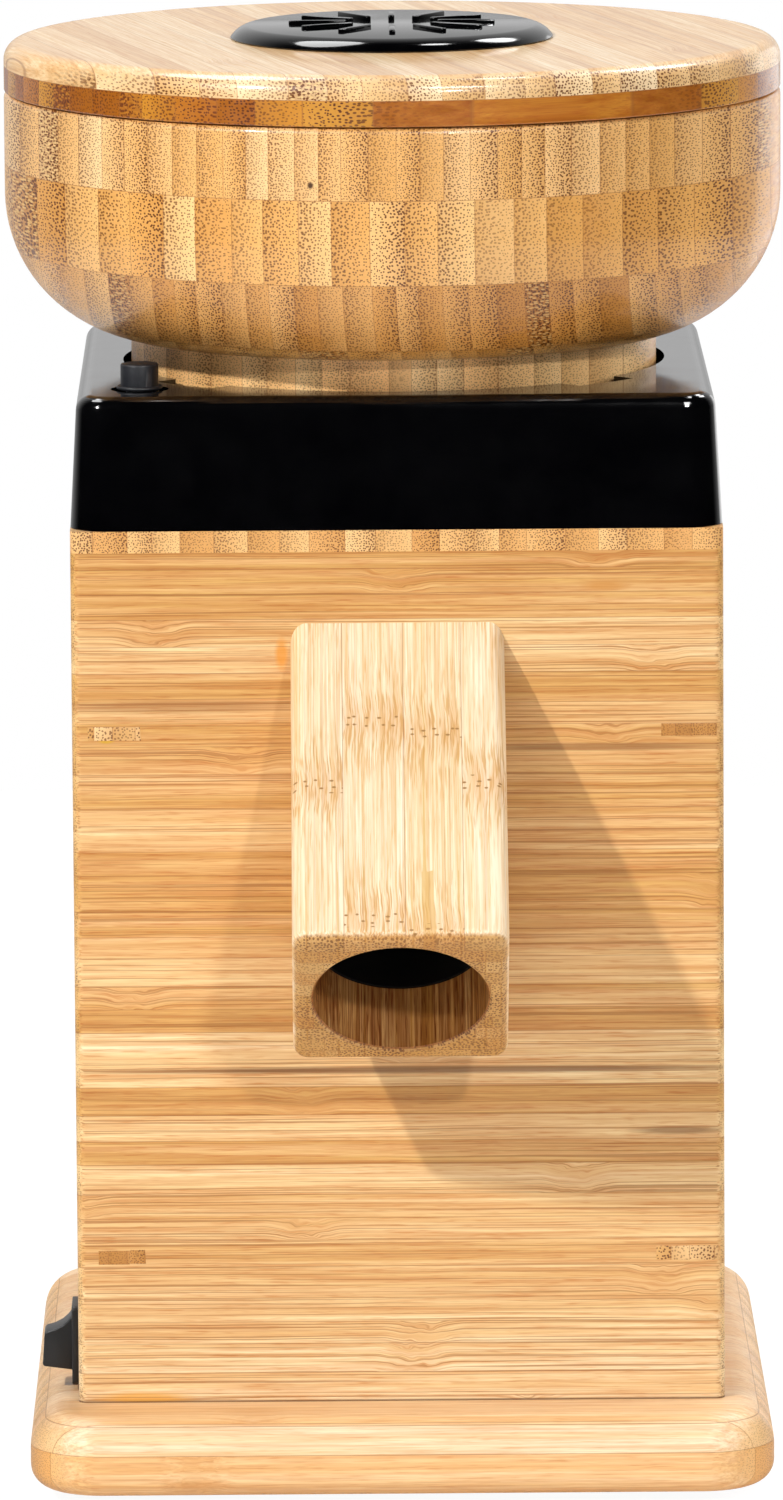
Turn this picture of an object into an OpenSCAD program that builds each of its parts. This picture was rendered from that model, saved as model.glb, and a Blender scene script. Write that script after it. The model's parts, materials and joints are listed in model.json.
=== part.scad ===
// Electric stone grain mill in a bamboo case, in millimetres.
// Origin: on the mill axis, in the plane the rubber feet stand on. +Z up, -Y the spout side.

/* [Case] */
// Height of the rubber feet
feet_h = 3; // [2.5:0.5:8]
// How far the base board stands out beside the case
base_margin_x = 12.5; // [6:0.5:30]
// How far the base board stands out before and behind the case
base_margin_y = 24.5; // [12:0.5:40]
// Thickness of the base board
base_t = 20.4; // [18:0.2:26]
// Plan corner radius of the base board
base_corner_r = 19; // [11:0.5:22]
// Round-over on the base board's upper edge
base_top_r = 10; // [4:0.5:10]
// Round-over on the base board's lower edge
base_bottom_r = 6; // [2:0.5:8]
// Width of the case
body_w = 168; // [166:0.5:174]
// Depth of the case
body_d = 165; // [164:0.5:170]
// Height of the case, from the base board to the top of the deck
body_h = 228.6; // [220:0.5:240]
// Thickness of the four case panels
panel_t = 12; // [10:0.5:13]
// Rounding of the case's upright edges
panel_edge_r = 2.5; // [1:0.5:4]
// Thickness of the top deck
deck_t = 5.6; // [5:0.2:8]

/* [Top cover] */
// Height of the moulded top cover
cover_h = 34.3; // [32:0.1:37]
// Wall of the top cover
cover_wall = 3; // [2:0.25:3.5]
// Inward draft of the cover's sides over its height
cover_draft = 1.9; // [0.5:0.1:2.5]
// Plan corner radius of the top cover at its foot
cover_corner_r = 10; // [8:0.5:12]
// Round-over on the cover's upper edge
cover_edge_r = 4; // [2:0.5:5]
// Gap between the hopper's neck and its hole in the top cover
neck_clear = 2.2; // [1:0.1:4]
// Width of each corner notch in that hole
notch_w = 20; // [12:1:24]
// Depth of each corner notch
notch_depth = 6.8; // [4:0.2:8]

/* [Hopper] */
// Outer radius of the bowl and the lid
bowl_r = 101.8; // [98:0.2:106]
// Height of the bowl, from its underside to its rim
bowl_h = 62.8; // [56:0.2:72]
// Radius of the bowl's rounded lower flank
bowl_arc_r = 37.8; // [30:0.2:42]
// Clear height between the top cover and the bowl's underside
bowl_gap = 8.5; // [6:0.5:12]
// Wall of the bowl at its rim
bowl_wall = 9.8; // [6:0.2:14]
// Flat ring of the bowl's underside round the neck
bowl_foot_w = 5.5; // [2:0.5:12]
// Depth of the straight inner wall below the rim
bowl_straight_h = 26; // [18:0.5:34]
// Wall of the neck
neck_wall = 5; // [4:0.25:6]
// Radius of the feed hole in the bowl's floor
feed_hole_r = 18; // [16:0.5:20]
// Thickness of the lid
lid_t = 13.2; // [10:0.2:16]
// Round-over on the lid's upper edge
lid_edge_r = 5; // [2:0.5:6]
// Depth of the spigot that centres the lid in the bowl
lid_spigot_h = 6; // [4:0.5:10]
// Radius of the knob plate on the lid
knob_r = 42; // [34:0.5:50]
// Height of the knob plate
knob_h = 3.75; // [3.5:0.25:7]
// Width of the knob plate's round shoulder
knob_shoulder = 10; // [4:0.5:14]
// Number of raised grip ribs on the knob plate
knob_ribs = 12; // [6:1:16]

/* [Spout] */
// Least wall of the square spout block round its bore
spout_wall = 5.1; // [4:0.1:8]
// Length of the spout block along its upper side
spout_len = 99; // [80:1:120]
// Slope of the spout below the horizontal
spout_angle = 45; // [43:1:48]
// Depth below the deck's top at which the spout's axis meets the milling chamber
spout_aim = 36.5; // [34:0.5:40]
// Radius of the spout's bore
spout_bore_r = 22.4; // [20:0.1:22.6]
// Length of the wooden bore between the chute's end and the mouth
spout_nose = 19; // [14:1:40]
// Rounding of the spout block's edges
spout_edge_r = 3; // [1:0.5:5]

/* [Mill] */
// Radius of the two millstones
stone_r = 42.5; // [38:0.5:44]
// Thickness of each millstone
stone_t = 13; // [10:0.5:14]
// Gap between the stones at the finest setting
stone_gap = 0.3; // [0.3:0.05:0.6]
// Height of the grinding plane above the deck
grind_h = 1.5; // [1:0.25:2]
// Radius of the feed eye of the upper stone
eye_r = 15.5; // [14:0.5:17]
// Inner radius of the milling chamber
chamber_r = 52; // [51:0.25:52.5]
// Wall of the milling chamber
chamber_wall = 4; // [3:0.25:4.5]
// Clear height under the stone runner
runner_clear = 3.35; // [2:0.05:6]
// Wall of the threaded tower that the hopper screws on
tower_wall = 4; // [3:0.25:5]
// Wall of the threaded ring that the tower carries
ring_wall = 6; // [4:0.5:8]
// Height of the tower above the deck
tower_h = 31; // [28:0.5:32]
// Rise of the hopper from its finest to its coarsest setting
hopper_rise = 3; // [2:0.25:4]
// Turn of the hopper over that rise, in degrees
hopper_turn = 270; // [180:5:290]

/* [Motor] */
// Radius of the stator core
stator_r = 52; // [48:0.5:52]
// Length of the stator core
stator_h = 54; // [40:1:60]
// Length of the posts that carry the motor under the milling chamber
post_len = 54; // [46:1:60]
// Radius of the rotor core
rotor_r = 30; // [26:0.5:32]
// Air gap between the rotor and the stator
air_gap = 0.5; // [0.4:0.1:1]
// Radius of the motor shaft
shaft_r = 7; // [6:0.25:8]
// Outer radius of the ball bearings
bearing_r = 17.5; // [16:0.5:19]
// Width of the ball bearings
bearing_w = 11; // [9:0.5:13]
// Radius of the cooling fan
fan_r = 40; // [34:0.5:42]
// Number of fan blades
fan_blades = 9; // [5:1:13]
// Radius of the run capacitor
capacitor_r = 14.5; // [12:0.25:14.75]
// Height of the run capacitor
capacitor_h = 36; // [25:1:37]

/* [Controls] */
// Distance of the switch's middle behind the case's front face
switch_inset = 22.5; // [21.5:0.5:40]
// Height of the switch's middle above the base board
switch_h = 11.9; // [11.5:0.1:24]
// Length of the switch bezel, upright
bezel_h = 21; // [19:0.5:22]
// Width of the switch bezel
bezel_w = 15; // [14:0.5:16]
// Distance of the release button's axis from the case's left face
button_inset_x = 18; // [17:0.5:20]
// Distance of the release button's axis from the case's front face
button_inset_y = 20.5; // [19.5:0.5:21.5]
// Radius of the button's cap
button_r = 4.9; // [4:0.1:5.5]
// Height of the button's cap above the top cover
button_h = 6.7; // [5.5:0.1:9]
// Travel of the release button
button_travel = 4; // [3:0.25:4.25]
// Radius of the cable entry in the gland
gland_bore_r = 3.4; // [2.5:0.1:4]

/* [Hidden] */
$fn = 64;
turned_fn = 128; // for the bowl, the lid and its knob
// Clearances
gap = 0.3; // between pieces that move past each other
fit = 0.05; // radial clearance of a running fit
drop = 0.02; // a cut's overshoot
far = 400; // larger than the whole mill

// Levels, from the ground up
base_w = body_w + 2 * base_margin_x;
base_d = body_d + 2 * base_margin_y;
base_top = feet_h + base_t;
deck_top = base_top + body_h;
deck_bottom = deck_top - deck_t;
cover_top = deck_top + cover_h;
bowl_bottom = cover_top + bowl_gap;
rim_z = bowl_bottom + bowl_h;
lid_bottom = rim_z + gap;
lid_top = rim_z + lid_t;
inner_w = body_w - 2 * panel_t;
inner_d = body_d - 2 * panel_t;

// Milling chamber
chamber_out_r = chamber_r + chamber_wall;
chamber_floor_t = 4;

// Spout and chute
spout_side = 2 * (spout_bore_r + spout_wall);
spout_axis_z = deck_top - spout_aim - (body_d / 2 - chamber_out_r) * tan(spout_angle);
spout_end = spout_len - spout_side / 2 / tan(spout_angle);
chute_wall = 3;
chute_bore_r = spout_bore_r - 0.5; // no ledge for the flour where the chute ends in the spout
chute_r = chute_bore_r + chute_wall;
chute_flange_t = 2;
chute_window_w = 38;
socket_z = spout_end - spout_nose; // end of the chute's socket in the spout, along its axis

// Milling chamber and stones
tower_bore_r = chamber_r + 2;
tower_r = tower_bore_r + tower_wall;
flange_t = 3.5;
flange_r = tower_r + 8;
flange_screw_r = (chamber_out_r + flange_r) / 2 + 0.5;
flange_screws = 4;
pawl_reach = flange_r + 1; // the release pawl's end, from the mill axis
tower_top = deck_top + tower_h;
grind_z = deck_top + grind_h;
guide_ring_t = 3;
guide_ring_r = stone_r + 2;
guide_ring_z = deck_top + 4.5;
pin_count = 3;
pin_r = 2.5;
pin_circle_r = (tower_bore_r + guide_ring_r) / 2;
carrier_z = grind_z + stone_gap / 2 + stone_t;
carrier_t = 6;
carrier_r = tower_bore_r - 1;
carrier_rim = 1.6; // lip that centres the stone
carrier_rim_h = 3;
pin_top = carrier_z + carrier_t + hopper_rise + 1;
glide_t = 3;
glide_inner_r = eye_r + 1.5;
glide_r = glide_inner_r + 7.5;
runner_t = 7;
chamber_depth = stone_gap / 2 + stone_t + runner_t - grind_h + runner_clear;
chamber_floor_z = deck_top - chamber_depth;
chute_window_h = chamber_depth - 4;
runner_z = grind_z - stone_gap / 2 - stone_t - runner_t;
runner_r = chamber_r - 6;
paddle_count = 4;
paddle_r = chamber_r - 1.5;
paddle_root = 6; // length of a paddle on the runner
paddle_t = 3;
hub_r = 12;
hub_h = 9;
nut_af = 19;
nut_t = 6;
nut_collar_t = 1.2;
seal_r = 14;

// Hopper parts that work in the mill
neck_inner_r = tower_r + ring_wall;
neck_r = neck_inner_r + neck_wall;
cover_hole_r = neck_r + neck_clear;
notch_reach = cover_hole_r + notch_depth;
bowl_inner_r = bowl_r - bowl_wall;
lug_z = deck_top + button_travel + 1;
lug_reach = pawl_reach + 2.5;
lug_angle = 8;
lug_clear_angle = 0.8; // left between the lug and the pawl at the coarsest setting
pawl_z = lug_z - 0.5;
pawl_t = 5.4;
pawl_w = 8;
pawl_clear = 0.6; // between the pawl and the ring's flange
ring_flange_t = 3;
ring_inset = 0.4; // of the flange from the neck's outside
ring_flange_z = pawl_z + pawl_t + pawl_clear;
neck_bottom = ring_flange_z + ring_flange_t;
floor_z = tower_top + 1.5;
throat_z = carrier_z + carrier_t + glide_t + gap;
throat_bore_r = 12.8;
throat_inner_r = 14; // above the finger guard's seat
throat_flange_r = 32;
throat_flange_t = 3;
nozzle_r = eye_r - 0.9;
nozzle_dip = 4; // depth of the nozzle in the carrier's eye
bowl_floor_t = 4; // of the bowl's floor at the feed hole
funnel_z = bowl_bottom + bowl_floor_t;

// Motor stack
bracket_cup_h = 16;
bracket_t = 6.5;
bracket_top = chamber_floor_z - chamber_floor_t - post_len;
stator_z = bracket_top - bracket_t - bracket_cup_h - stator_h;
stator_top = stator_z + stator_h;
winding_h = 12;
winding_edge = 3;
winding_r = 47;
winding_inner_r = 33;
bracket_skirt = 2; // of the brackets round the stator
bracket_r = stator_r + bracket_skirt;
bracket_wall = 3.5;
bracket_bottom = stator_z - bracket_cup_h - bracket_t;
shaft_tail = 14.5; // of the shaft below the lower bracket
shaft_bottom = bracket_bottom - shaft_tail;
bracket_lap = 3;
bracket_lip = 3;
bolt_circle_r = bracket_r + bracket_lip;
bolt_r = 2.5;
bolt_head_af = 8;
bolt_head_t = 4;
ear_r = 6;
post_xy = 36;
post_r = 5;
shaft_top = grind_z + hub_h - 1;
fan_z = bracket_top + 8;
fan_h = 12;

// Controls
bezel_t = 2;
bezel_edge_r = 1.5;
switch_y = body_d / 2 - switch_inset;
switch_z = base_top + switch_h;
switch_cut_w = bezel_w - 1.8;
switch_cut_h = bezel_h - 2;
switch_body_depth = 20;
switch_x = -body_w / 2;
button_x = body_w / 2 - button_inset_x;
button_y = body_d / 2 - button_inset_y;
button_at = [-button_x, -button_y, 0];
button_angle = 180 + atan2(button_y, button_x);
// place of the lug on the ring at the finest setting, degrees from +X
lug_start = button_angle - asin(pawl_w / 2 / pawl_reach) - lug_clear_angle - lug_angle - hopper_turn;
button_hole_r = 7.5;
button_flange_r = 6;
button_flange_t = 1;
button_edge_r = 0.7;
pawl_lift = 1.6; // free height over the pawl
guide_floor_z = pawl_z + pawl_t + pawl_lift;
guide_floor_t = 3;
guide_wall = 1.6;
guide_lip = 3;
guide_lip_t = 2;
stem_r = 3.5;
lock_wire_r = 0.5;
lock_coil_r = stem_r + lock_wire_r + 0.6;
lock_turns = 6;

// Colours
bamboo = "#dba862";
bamboo_dark = "#c48c45";
bamboo_pale = "#ead9b8";
gloss_black = "#0b0b0c";
charcoal = "#28282a";
slate = "#2d2d37";
aluminium = "#b9bcc0";
steel = "#8f9398";
copper = "#b06a35";
corundum = "#d8d2c4";

// ---- Shared shapes ----

// Four places, mirrored in X and Y
module at_corners(x, y) {
    for (sx = [-1, 1], sy = [-1, 1])
        translate([sx * x, sy * y, 0])
            children();
}

module around(count, r, start = 0) {
    for (i = [0 : count - 1])
        rotate(start + i * 360 / count)
            translate([r, 0, 0])
                children();
}

module ring(outer_r, inner_r, h) {
    difference() {
        cylinder(r = outer_r, h = h);
        translate([0, 0, -drop])
            cylinder(r = inner_r, h = h + 2 * drop);
    }
}

// Half section of a slab's rim: from its corner's axis out to radius r
module rim_section(r, t, top_r, bottom_r) {
    translate([0, bottom_r])
        square([r, t - top_r - bottom_r]);
    translate([0, t / 2])
        square([r - top_r, t / 2]);
    square([r - bottom_r, t / 2]);
    intersection() {
        translate([r - top_r, t - top_r])
            circle(top_r);
        square([r, t]);
    }
    intersection() {
        translate([r - bottom_r, bottom_r])
            circle(bottom_r);
        square([r, t]);
    }
}

// A slab with round plan corners of radius r, whose rim follows the section given as its child
module slab(w, d, t, r) {
    at_corners(w / 2 - r, d / 2 - r)
        rotate_extrude()
            children();
    slab_run(w, d, t, r)
        children();
    rotate(90)
        slab_run(d, w, t, r)
            children();
}

module slab_run(w, d, t, r) {
    rotate([90, 0, 90])
        translate([0, 0, -(w / 2 - r)])
            linear_extrude(w - 2 * r) {
                translate([-(d / 2 - r), 0])
                    square([d - 2 * r, t]);
                for (side = [0, 1])
                    mirror([side, 0])
                        translate([d / 2 - r, 0])
                            children();
            }
}

module rounded_rect(w, d, r) {
    square([w - 2 * r, d], center = true);
    square([w, d - 2 * r], center = true);
    at_corners(w / 2 - r, d / 2 - r)
        circle(r);
}

module plate(w, d, t, r) {
    linear_extrude(t)
        rounded_rect(w, d, r);
}

// A slot with round ends, its length along X
module slot_2d(length, width) {
    square([length - width, width], center = true);
    for (side = [-1, 1])
        translate([side * (length - width) / 2, 0])
            circle(width / 2);
}

// Countersunk screw pointing up, its flat head's face at z = 0
module countersunk_screw(r, head_r, length) {
    cylinder(r1 = head_r, r2 = r, h = head_r - r);
    cylinder(r = r, h = length);
}

// Hole for that screw, open below
module countersink(r, head_r) {
    countersunk_screw(r + fit, head_r + fit, far);
    translate([0, 0, -drop])
        cylinder(r = head_r + fit, h = drop);
}

// Pan-head screw pointing up, its head below z = 0
module pan_screw(r, head_r, head_t, length) {
    translate([0, 0, -head_t])
        cylinder(r = head_r, h = head_t);
    cylinder(r = r, h = length);
}

// Hexagon of the given width across flats
module hexagon(af, h) {
    cylinder(d = af / cos(30), h = h, $fn = 6);
}

// Helical spring standing on z = 0, its wire swept in short steps
coil_steps = 20; // per turn
coil_sides = 6; // of the wire's section

module coil(mean_r, wire_r, h, turns) {
    steps = turns * coil_steps;
    points = [for (i = [0 : steps], k = [0 : coil_sides - 1])
        let (turn = i * 360 / coil_steps, side = k * 360 / coil_sides, r = mean_r + wire_r * cos(side))
        [r * cos(turn), r * sin(turn), wire_r + (h - 2 * wire_r) * i / steps + wire_r * sin(side)]];
    walls = [for (i = [0 : steps - 1], k = [0 : coil_sides - 1])
        let (a = i * coil_sides, next = (k + 1) % coil_sides)
        each [[a + k, a + coil_sides + k, a + next], [a + next, a + coil_sides + k, a + coil_sides + next]]];
    start_cap = [for (k = [0 : coil_sides - 1]) k];
    end_cap = [for (k = [coil_sides - 1 : -1 : 0]) steps * coil_sides + k];
    polyhedron(points, concat(walls, [start_cap, end_cap]));
}

// ---- Base ----

foot_r = 10;
foot_inset = 32;
foot_x = base_w / 2 - foot_inset;
foot_y = base_d / 2 - foot_inset;
foot_recess_r = 5; // round the screw's head
foot_web_t = 1.2;
base_screw_r = 2;
base_screw_head_r = 4;
base_screw_grip = 16; // length in the side panels
base_screw_len = base_t + base_screw_grip;
base_screw_gap = 14; // from the switch's middle
base_screw_y = switch_y - base_screw_gap;
base_screw_x = body_w / 2 - panel_t / 2;
base_slots = 5;
base_slot_pitch = 14;
base_slot_len = 76;
base_slot_w = 6;

module base_screw_places() {
    at_corners(base_screw_x, base_screw_y)
        translate([0, 0, feet_h])
            children();
}

module base_board() {
    color(bamboo)
        difference() {
            translate([0, 0, feet_h])
                slab(base_w, base_d, base_t, base_corner_r)
                    rim_section(base_corner_r, base_t, base_top_r, base_bottom_r);
            for (i = [0 : base_slots - 1])
                translate([0, (i - (base_slots - 1) / 2) * base_slot_pitch, feet_h - drop])
                    linear_extrude(base_t + 2 * drop)
                        slot_2d(base_slot_len, base_slot_w);
            base_screw_places()
                countersink(base_screw_r, base_screw_head_r);
            at_corners(foot_x, foot_y)
                translate([0, 0, feet_h - drop])
                    cylinder(r = foot_screw_r, h = foot_screw_len - foot_web_t + drop);
        }
}

foot_screw_r = 1.75;
foot_screw_head_r = 3.5;
foot_screw_head_t = 1.4;
foot_screw_len = 12;

module rubber_feet() {
    color("#1a1a1a")
        at_corners(foot_x, foot_y)
            difference() {
                rotate_extrude()
                    rim_section(foot_r, feet_h, 0.5, 1);
                translate([0, 0, -drop])
                    cylinder(r = foot_recess_r, h = feet_h - foot_web_t + drop);
                cylinder(r = foot_screw_r, h = feet_h + drop);
            }
}

module foot_screws() {
    color(steel)
        at_corners(foot_x, foot_y)
            translate([0, 0, feet_h - foot_web_t])
                pan_screw(foot_screw_r, foot_screw_head_r, foot_screw_head_t, foot_screw_len);
}

module base_screws() {
    color(steel)
        base_screw_places()
            countersunk_screw(base_screw_r, base_screw_head_r, base_screw_len);
}

// ---- Case ----

// Upright board across the case; its outer face at y = 0 and its outer edges rounded
module case_board(w, t, h) {
    linear_extrude(h) {
        translate([-w / 2, panel_edge_r])
            square([w, t - panel_edge_r]);
        translate([-w / 2 + panel_edge_r, 0])
            square([w - 2 * panel_edge_r, t / 2]);
        for (side = [-1, 1])
            translate([side * (w / 2 - panel_edge_r), panel_edge_r])
                circle(panel_edge_r);
    }
}

// Frame of the spout: z along its axis, outwards and down, from the case's front face
module spout_frame() {
    translate([0, -body_d / 2, spout_axis_z])
        rotate([90 + spout_angle, 0, 0])
            children();
}

module side_screw_holes() {
    base_screw_places()
        cylinder(r = base_screw_r, h = base_screw_len);
}

module front_panel() {
    color(bamboo)
        difference() {
            translate([0, -body_d / 2, base_top])
                case_board(body_w, panel_t, body_h - deck_t);
            spout_frame()
                cylinder(r = chute_r + fit, h = far, center = true);
            chute_screw_places()
                cylinder(r = chute_screw_r, h = chute_screw_len);
        }
}

vent_slots = 9;
vent_pitch = 9;
vent_len = 70;
vent_w = 4.5;
vent_drop = 78.6; // of the vents' middle below the deck's top
gland_inset = 36; // from the case's right face
gland_x = body_w / 2 - gland_inset;
gland_h = 22;
gland_thread_r = 8;
gland_flange_r = 11;
gland_flange_t = 3;
gland_cap_af = 19;
gland_cap_h = 6;
gland_nose_r = 6.5;
gland_nose_h = 3;
gland_nut_af = 22;
gland_nut_t = 5;

module gland_place() {
    translate([gland_x, body_d / 2, base_top + gland_h])
        rotate([90, 0, 0])
            children();
}

module back_panel() {
    color(bamboo)
        difference() {
            translate([0, body_d / 2, base_top])
                rotate(180)
                    case_board(body_w, panel_t, body_h - deck_t);
            for (i = [0 : vent_slots - 1])
                translate([(i - (vent_slots - 1) / 2) * vent_pitch, body_d / 2 + drop, deck_top - vent_drop])
                    rotate([90, 90, 0])
                        linear_extrude(panel_t + 2 * drop)
                            slot_2d(vent_len, vent_w);
            gland_place()
                translate([0, 0, -drop])
                    cylinder(r = gland_thread_r, h = panel_t + 2 * drop);
        }
}

module side_board() {
    translate([-body_w / 2, -inner_d / 2, base_top])
        cube([panel_t, inner_d, body_h - deck_t]);
}

module left_panel() {
    color(bamboo)
        difference() {
            side_board();
            side_screw_holes();
            translate([switch_x - drop, -switch_y - switch_cut_w / 2, switch_z - switch_cut_h / 2])
                cube([panel_t + 2 * drop, switch_cut_w, switch_cut_h]);
            clip_place()
                translate([-panel_t / 2, 0, 0])
                    rotate([0, 90, 0])
                        cylinder(r = clip_screw_r, h = panel_t);
        }
}

module right_panel() {
    color(bamboo)
        difference() {
            mirror([1, 0, 0])
                side_board();
            side_screw_holes();
        }
}

block_side = 11;
block_h = 60;

module corner_blocks() {
    color(bamboo_pale)
        for (sx = [0, 1], sy = [0, 1])
            mirror([sx, 0, 0])
                mirror([0, sy, 0])
                    translate([inner_w / 2, inner_d / 2, deck_bottom - block_h])
                        linear_extrude(block_h)
                            polygon([[0, 0], [-block_side, 0], [0, -block_side]]);
}

deck_clear = 0.5; // round the chamber
cover_screw_x = inner_w / 2 - 4;
cover_boss_inset = 36.5; // from the case's front and back faces
cover_screw_y = body_d / 2 - cover_boss_inset;
cover_screw_r = 1.6;
cover_screw_head_r = 3;
cover_screw_head_t = 1.8;
cover_screw_grip = 14; // length in the cover's boss
cover_boss_r = 3.8;

module top_deck() {
    color(bamboo)
        difference() {
            translate([0, 0, deck_bottom])
                plate(body_w, body_d, deck_t, panel_edge_r);
            translate([0, 0, deck_bottom - drop])
                cylinder(r = chamber_out_r + deck_clear, h = deck_t + 2 * drop);
            at_corners(cover_screw_x, cover_screw_y)
                translate([0, 0, deck_bottom - drop])
                    cylinder(r = cover_screw_r, h = deck_t + 2 * drop);
            chamber_screw_places()
                translate([0, 0, -chamber_screw_len - drop])
                    cylinder(r = chamber_screw_r, h = chamber_screw_len);
        }
}

cover_arc_steps = 10;

// Section of the cover's rim: drafted side and rounded upper edge
module cover_section(r, h, draft, edge_r) {
    slope = atan(draft / h);
    arc_at = [r - draft * (h - edge_r) / h - edge_r / cos(slope), h - edge_r];
    arc = [for (i = [0 : cover_arc_steps])
        let (a = slope + (90 - slope) * i / cover_arc_steps)
        arc_at + edge_r * [cos(a), sin(a)]];
    polygon(concat([[0, 0], [r, 0]], arc, [[0, h]]));
}

module cover_shell(w, d, h, r, edge_r) {
    slab(w, d, h, r)
        cover_section(r, h, cover_draft, edge_r);
}

module notch_places() {
    for (i = [0 : 3])
        rotate(45 + i * 90)
            children();
}

module top_cover() {
    inner_r = cover_corner_r - cover_wall;
    color(gloss_black)
        difference() {
            union() {
                difference() {
                    translate([0, 0, deck_top])
                        cover_shell(body_w, body_d, cover_h, cover_corner_r, cover_edge_r);
                    translate([0, 0, deck_top - cover_wall])
                        cover_shell(body_w - 2 * cover_wall, body_d - 2 * cover_wall, cover_h,
                            inner_r, cover_edge_r / 2);
                }
                at_corners(cover_screw_x, cover_screw_y)
                    translate([0, 0, deck_top])
                        cylinder(r = cover_boss_r, h = cover_h - cover_wall / 2);
            }
            at_corners(cover_screw_x, cover_screw_y)
                translate([0, 0, deck_top - drop])
                    cylinder(r = cover_screw_r, h = cover_screw_grip + 1);
            translate([0, 0, deck_top])
                cylinder(r = cover_hole_r, h = far);
            notch_places()
                translate([0, 0, deck_top + cover_h / 2])
                    linear_extrude(cover_h)
                        intersection() {
                            translate([0, -notch_w / 2])
                                square([notch_reach, notch_w]);
                            circle(notch_reach);
                        }
            translate(button_at)
                cylinder(r = button_hole_r, h = far);
        }
}

module cover_screws() {
    color(steel)
        at_corners(cover_screw_x, cover_screw_y)
            translate([0, 0, deck_bottom])
                pan_screw(cover_screw_r, cover_screw_head_r, cover_screw_head_t, deck_t + cover_screw_grip);
}

// ---- Spout and chute ----

spout_mouth = 0.8;

module spout() {
    color(bamboo_pale)
        difference() {
            spout_frame()
                translate([0, 0, -spout_side])
                    slab(spout_side, spout_side, spout_end + spout_side, spout_edge_r + 1)
                        rim_section(spout_edge_r + 1, spout_end + spout_side, spout_edge_r, 0.5);
            translate([-far / 2, -body_d / 2, 0])
                cube(far);
            spout_frame() {
                cylinder(r = spout_bore_r, h = far, center = true);
                translate([0, 0, spout_end - spout_mouth])
                    cylinder(r1 = spout_bore_r, r2 = spout_bore_r + spout_mouth + drop, h = spout_mouth + drop);
                // socket for the end of the chute
                translate([0, 0, socket_z - far])
                    cylinder(r = chute_r + fit, h = far);
            }
        }
}

chute_screw_r = 1.5;
chute_screw_head_r = 2.8;
chute_screw_head_t = 1.6;
chute_screw_len = 9;
chute_lip = 8; // of the flange beside the tube
chute_lip_h = 4; // above and below it
chute_flange_w = 2 * (chute_r + chute_lip);
chute_y = -body_d / 2 + panel_t; // the case's inner front face
chute_axis_z = spout_axis_z + panel_t * tan(spout_angle); // the spout's axis at that face
chute_half_h = chute_r / cos(spout_angle) + chute_lip_h;
chute_screw_z = 0.7 * chute_half_h;
chute_reach = 5; // of the chute round the chamber's wall
chute_end_y = -chamber_out_r + chute_reach;

module chute_screw_places() {
    for (sx = [-1, 1], z = [-chute_screw_z, chute_screw_z])
        translate([sx * (chute_r + chute_lip / 2), chute_y, chute_axis_z + z])
            rotate([90, 0, 0])
                children();
}

// Tube from the chamber's wall, through the front panel, into the spout
module flour_chute() {
    color(charcoal)
        difference() {
            union() {
                intersection() {
                    spout_frame()
                        translate([0, 0, socket_z - gap - far])
                            cylinder(r = chute_r, h = far);
                    translate([-far / 2, chute_end_y - far, 0])
                        cube([far, far, deck_bottom]);
                }
                translate([-chute_flange_w / 2, chute_y, chute_axis_z - chute_half_h])
                    cube([chute_flange_w, chute_flange_t, 2 * chute_half_h]);
            }
            intersection() {
                spout_frame()
                    cylinder(r = chute_bore_r, h = far, center = true);
                translate([-far / 2, chute_end_y - chute_wall - far, 0])
                    cube([far, far, far]);
            }
            translate([0, 0, chamber_floor_z - chamber_floor_t - gap])
                cylinder(r = chamber_out_r, h = far);
            chute_screw_places()
                translate([0, 0, -chute_flange_t - drop])
                    cylinder(r = chute_screw_r, h = far);
        }
}

module chute_screws() {
    color(steel)
        chute_screw_places()
            translate([0, 0, -chute_flange_t])
                pan_screw(chute_screw_r, chute_screw_head_r, chute_screw_head_t, chute_screw_len);
}

// ---- Milling chamber ----

chamber_screw_r = 2;
chamber_screw_len = flange_t + deck_t;
chamber_screw_head_r = 3.8;
post_screw_r = 2;
chamber_screw_angle = 20; // from the X axis

module chamber_screw_places() {
    around(flange_screws, flange_screw_r, chamber_screw_angle)
        translate([0, 0, deck_top + flange_t])
            children();
}

window_reach = 20;

module window_cut() {
    translate([-chute_window_w / 2, -chamber_out_r - window_reach / 2, chamber_floor_z])
        cube([chute_window_w, window_reach, chute_window_h]);
}

module milling_chamber() {
    color(aluminium)
        difference() {
            union() {
                translate([0, 0, chamber_floor_z - chamber_floor_t])
                    cylinder(r = chamber_out_r, h = chamber_depth + chamber_floor_t);
                translate([0, 0, deck_top])
                    cylinder(r = flange_r, h = flange_t);
                translate([0, 0, deck_top])
                    cylinder(r = tower_r, h = tower_h);
            }
            translate([0, 0, chamber_floor_z])
                cylinder(r = chamber_r, h = far);
            translate([0, 0, guide_ring_z])
                cylinder(r = tower_bore_r, h = far);
            translate([0, 0, chamber_floor_z - chamber_floor_t - drop])
                cylinder(r = seal_r, h = far);
            window_cut();
            chamber_screw_places()
                mirror([0, 0, 1])
                    countersink(chamber_screw_r, chamber_screw_head_r);
            post_places()
                translate([0, 0, chamber_floor_z - chamber_floor_t - drop])
                    cylinder(r = post_screw_r, h = chamber_floor_t + 2 * drop);
        }
}

module chamber_screws() {
    color(steel)
        chamber_screw_places()
            mirror([0, 0, 1])
                countersunk_screw(chamber_screw_r, chamber_screw_head_r, chamber_screw_len);
}

module shaft_seal() {
    color("#8a8378")
        translate([0, 0, chamber_floor_z - chamber_floor_t])
            ring(seal_r, shaft_r + fit, chamber_floor_t);
}

module pin_places() {
    around(pin_count, pin_circle_r, 90)
        children();
}

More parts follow.
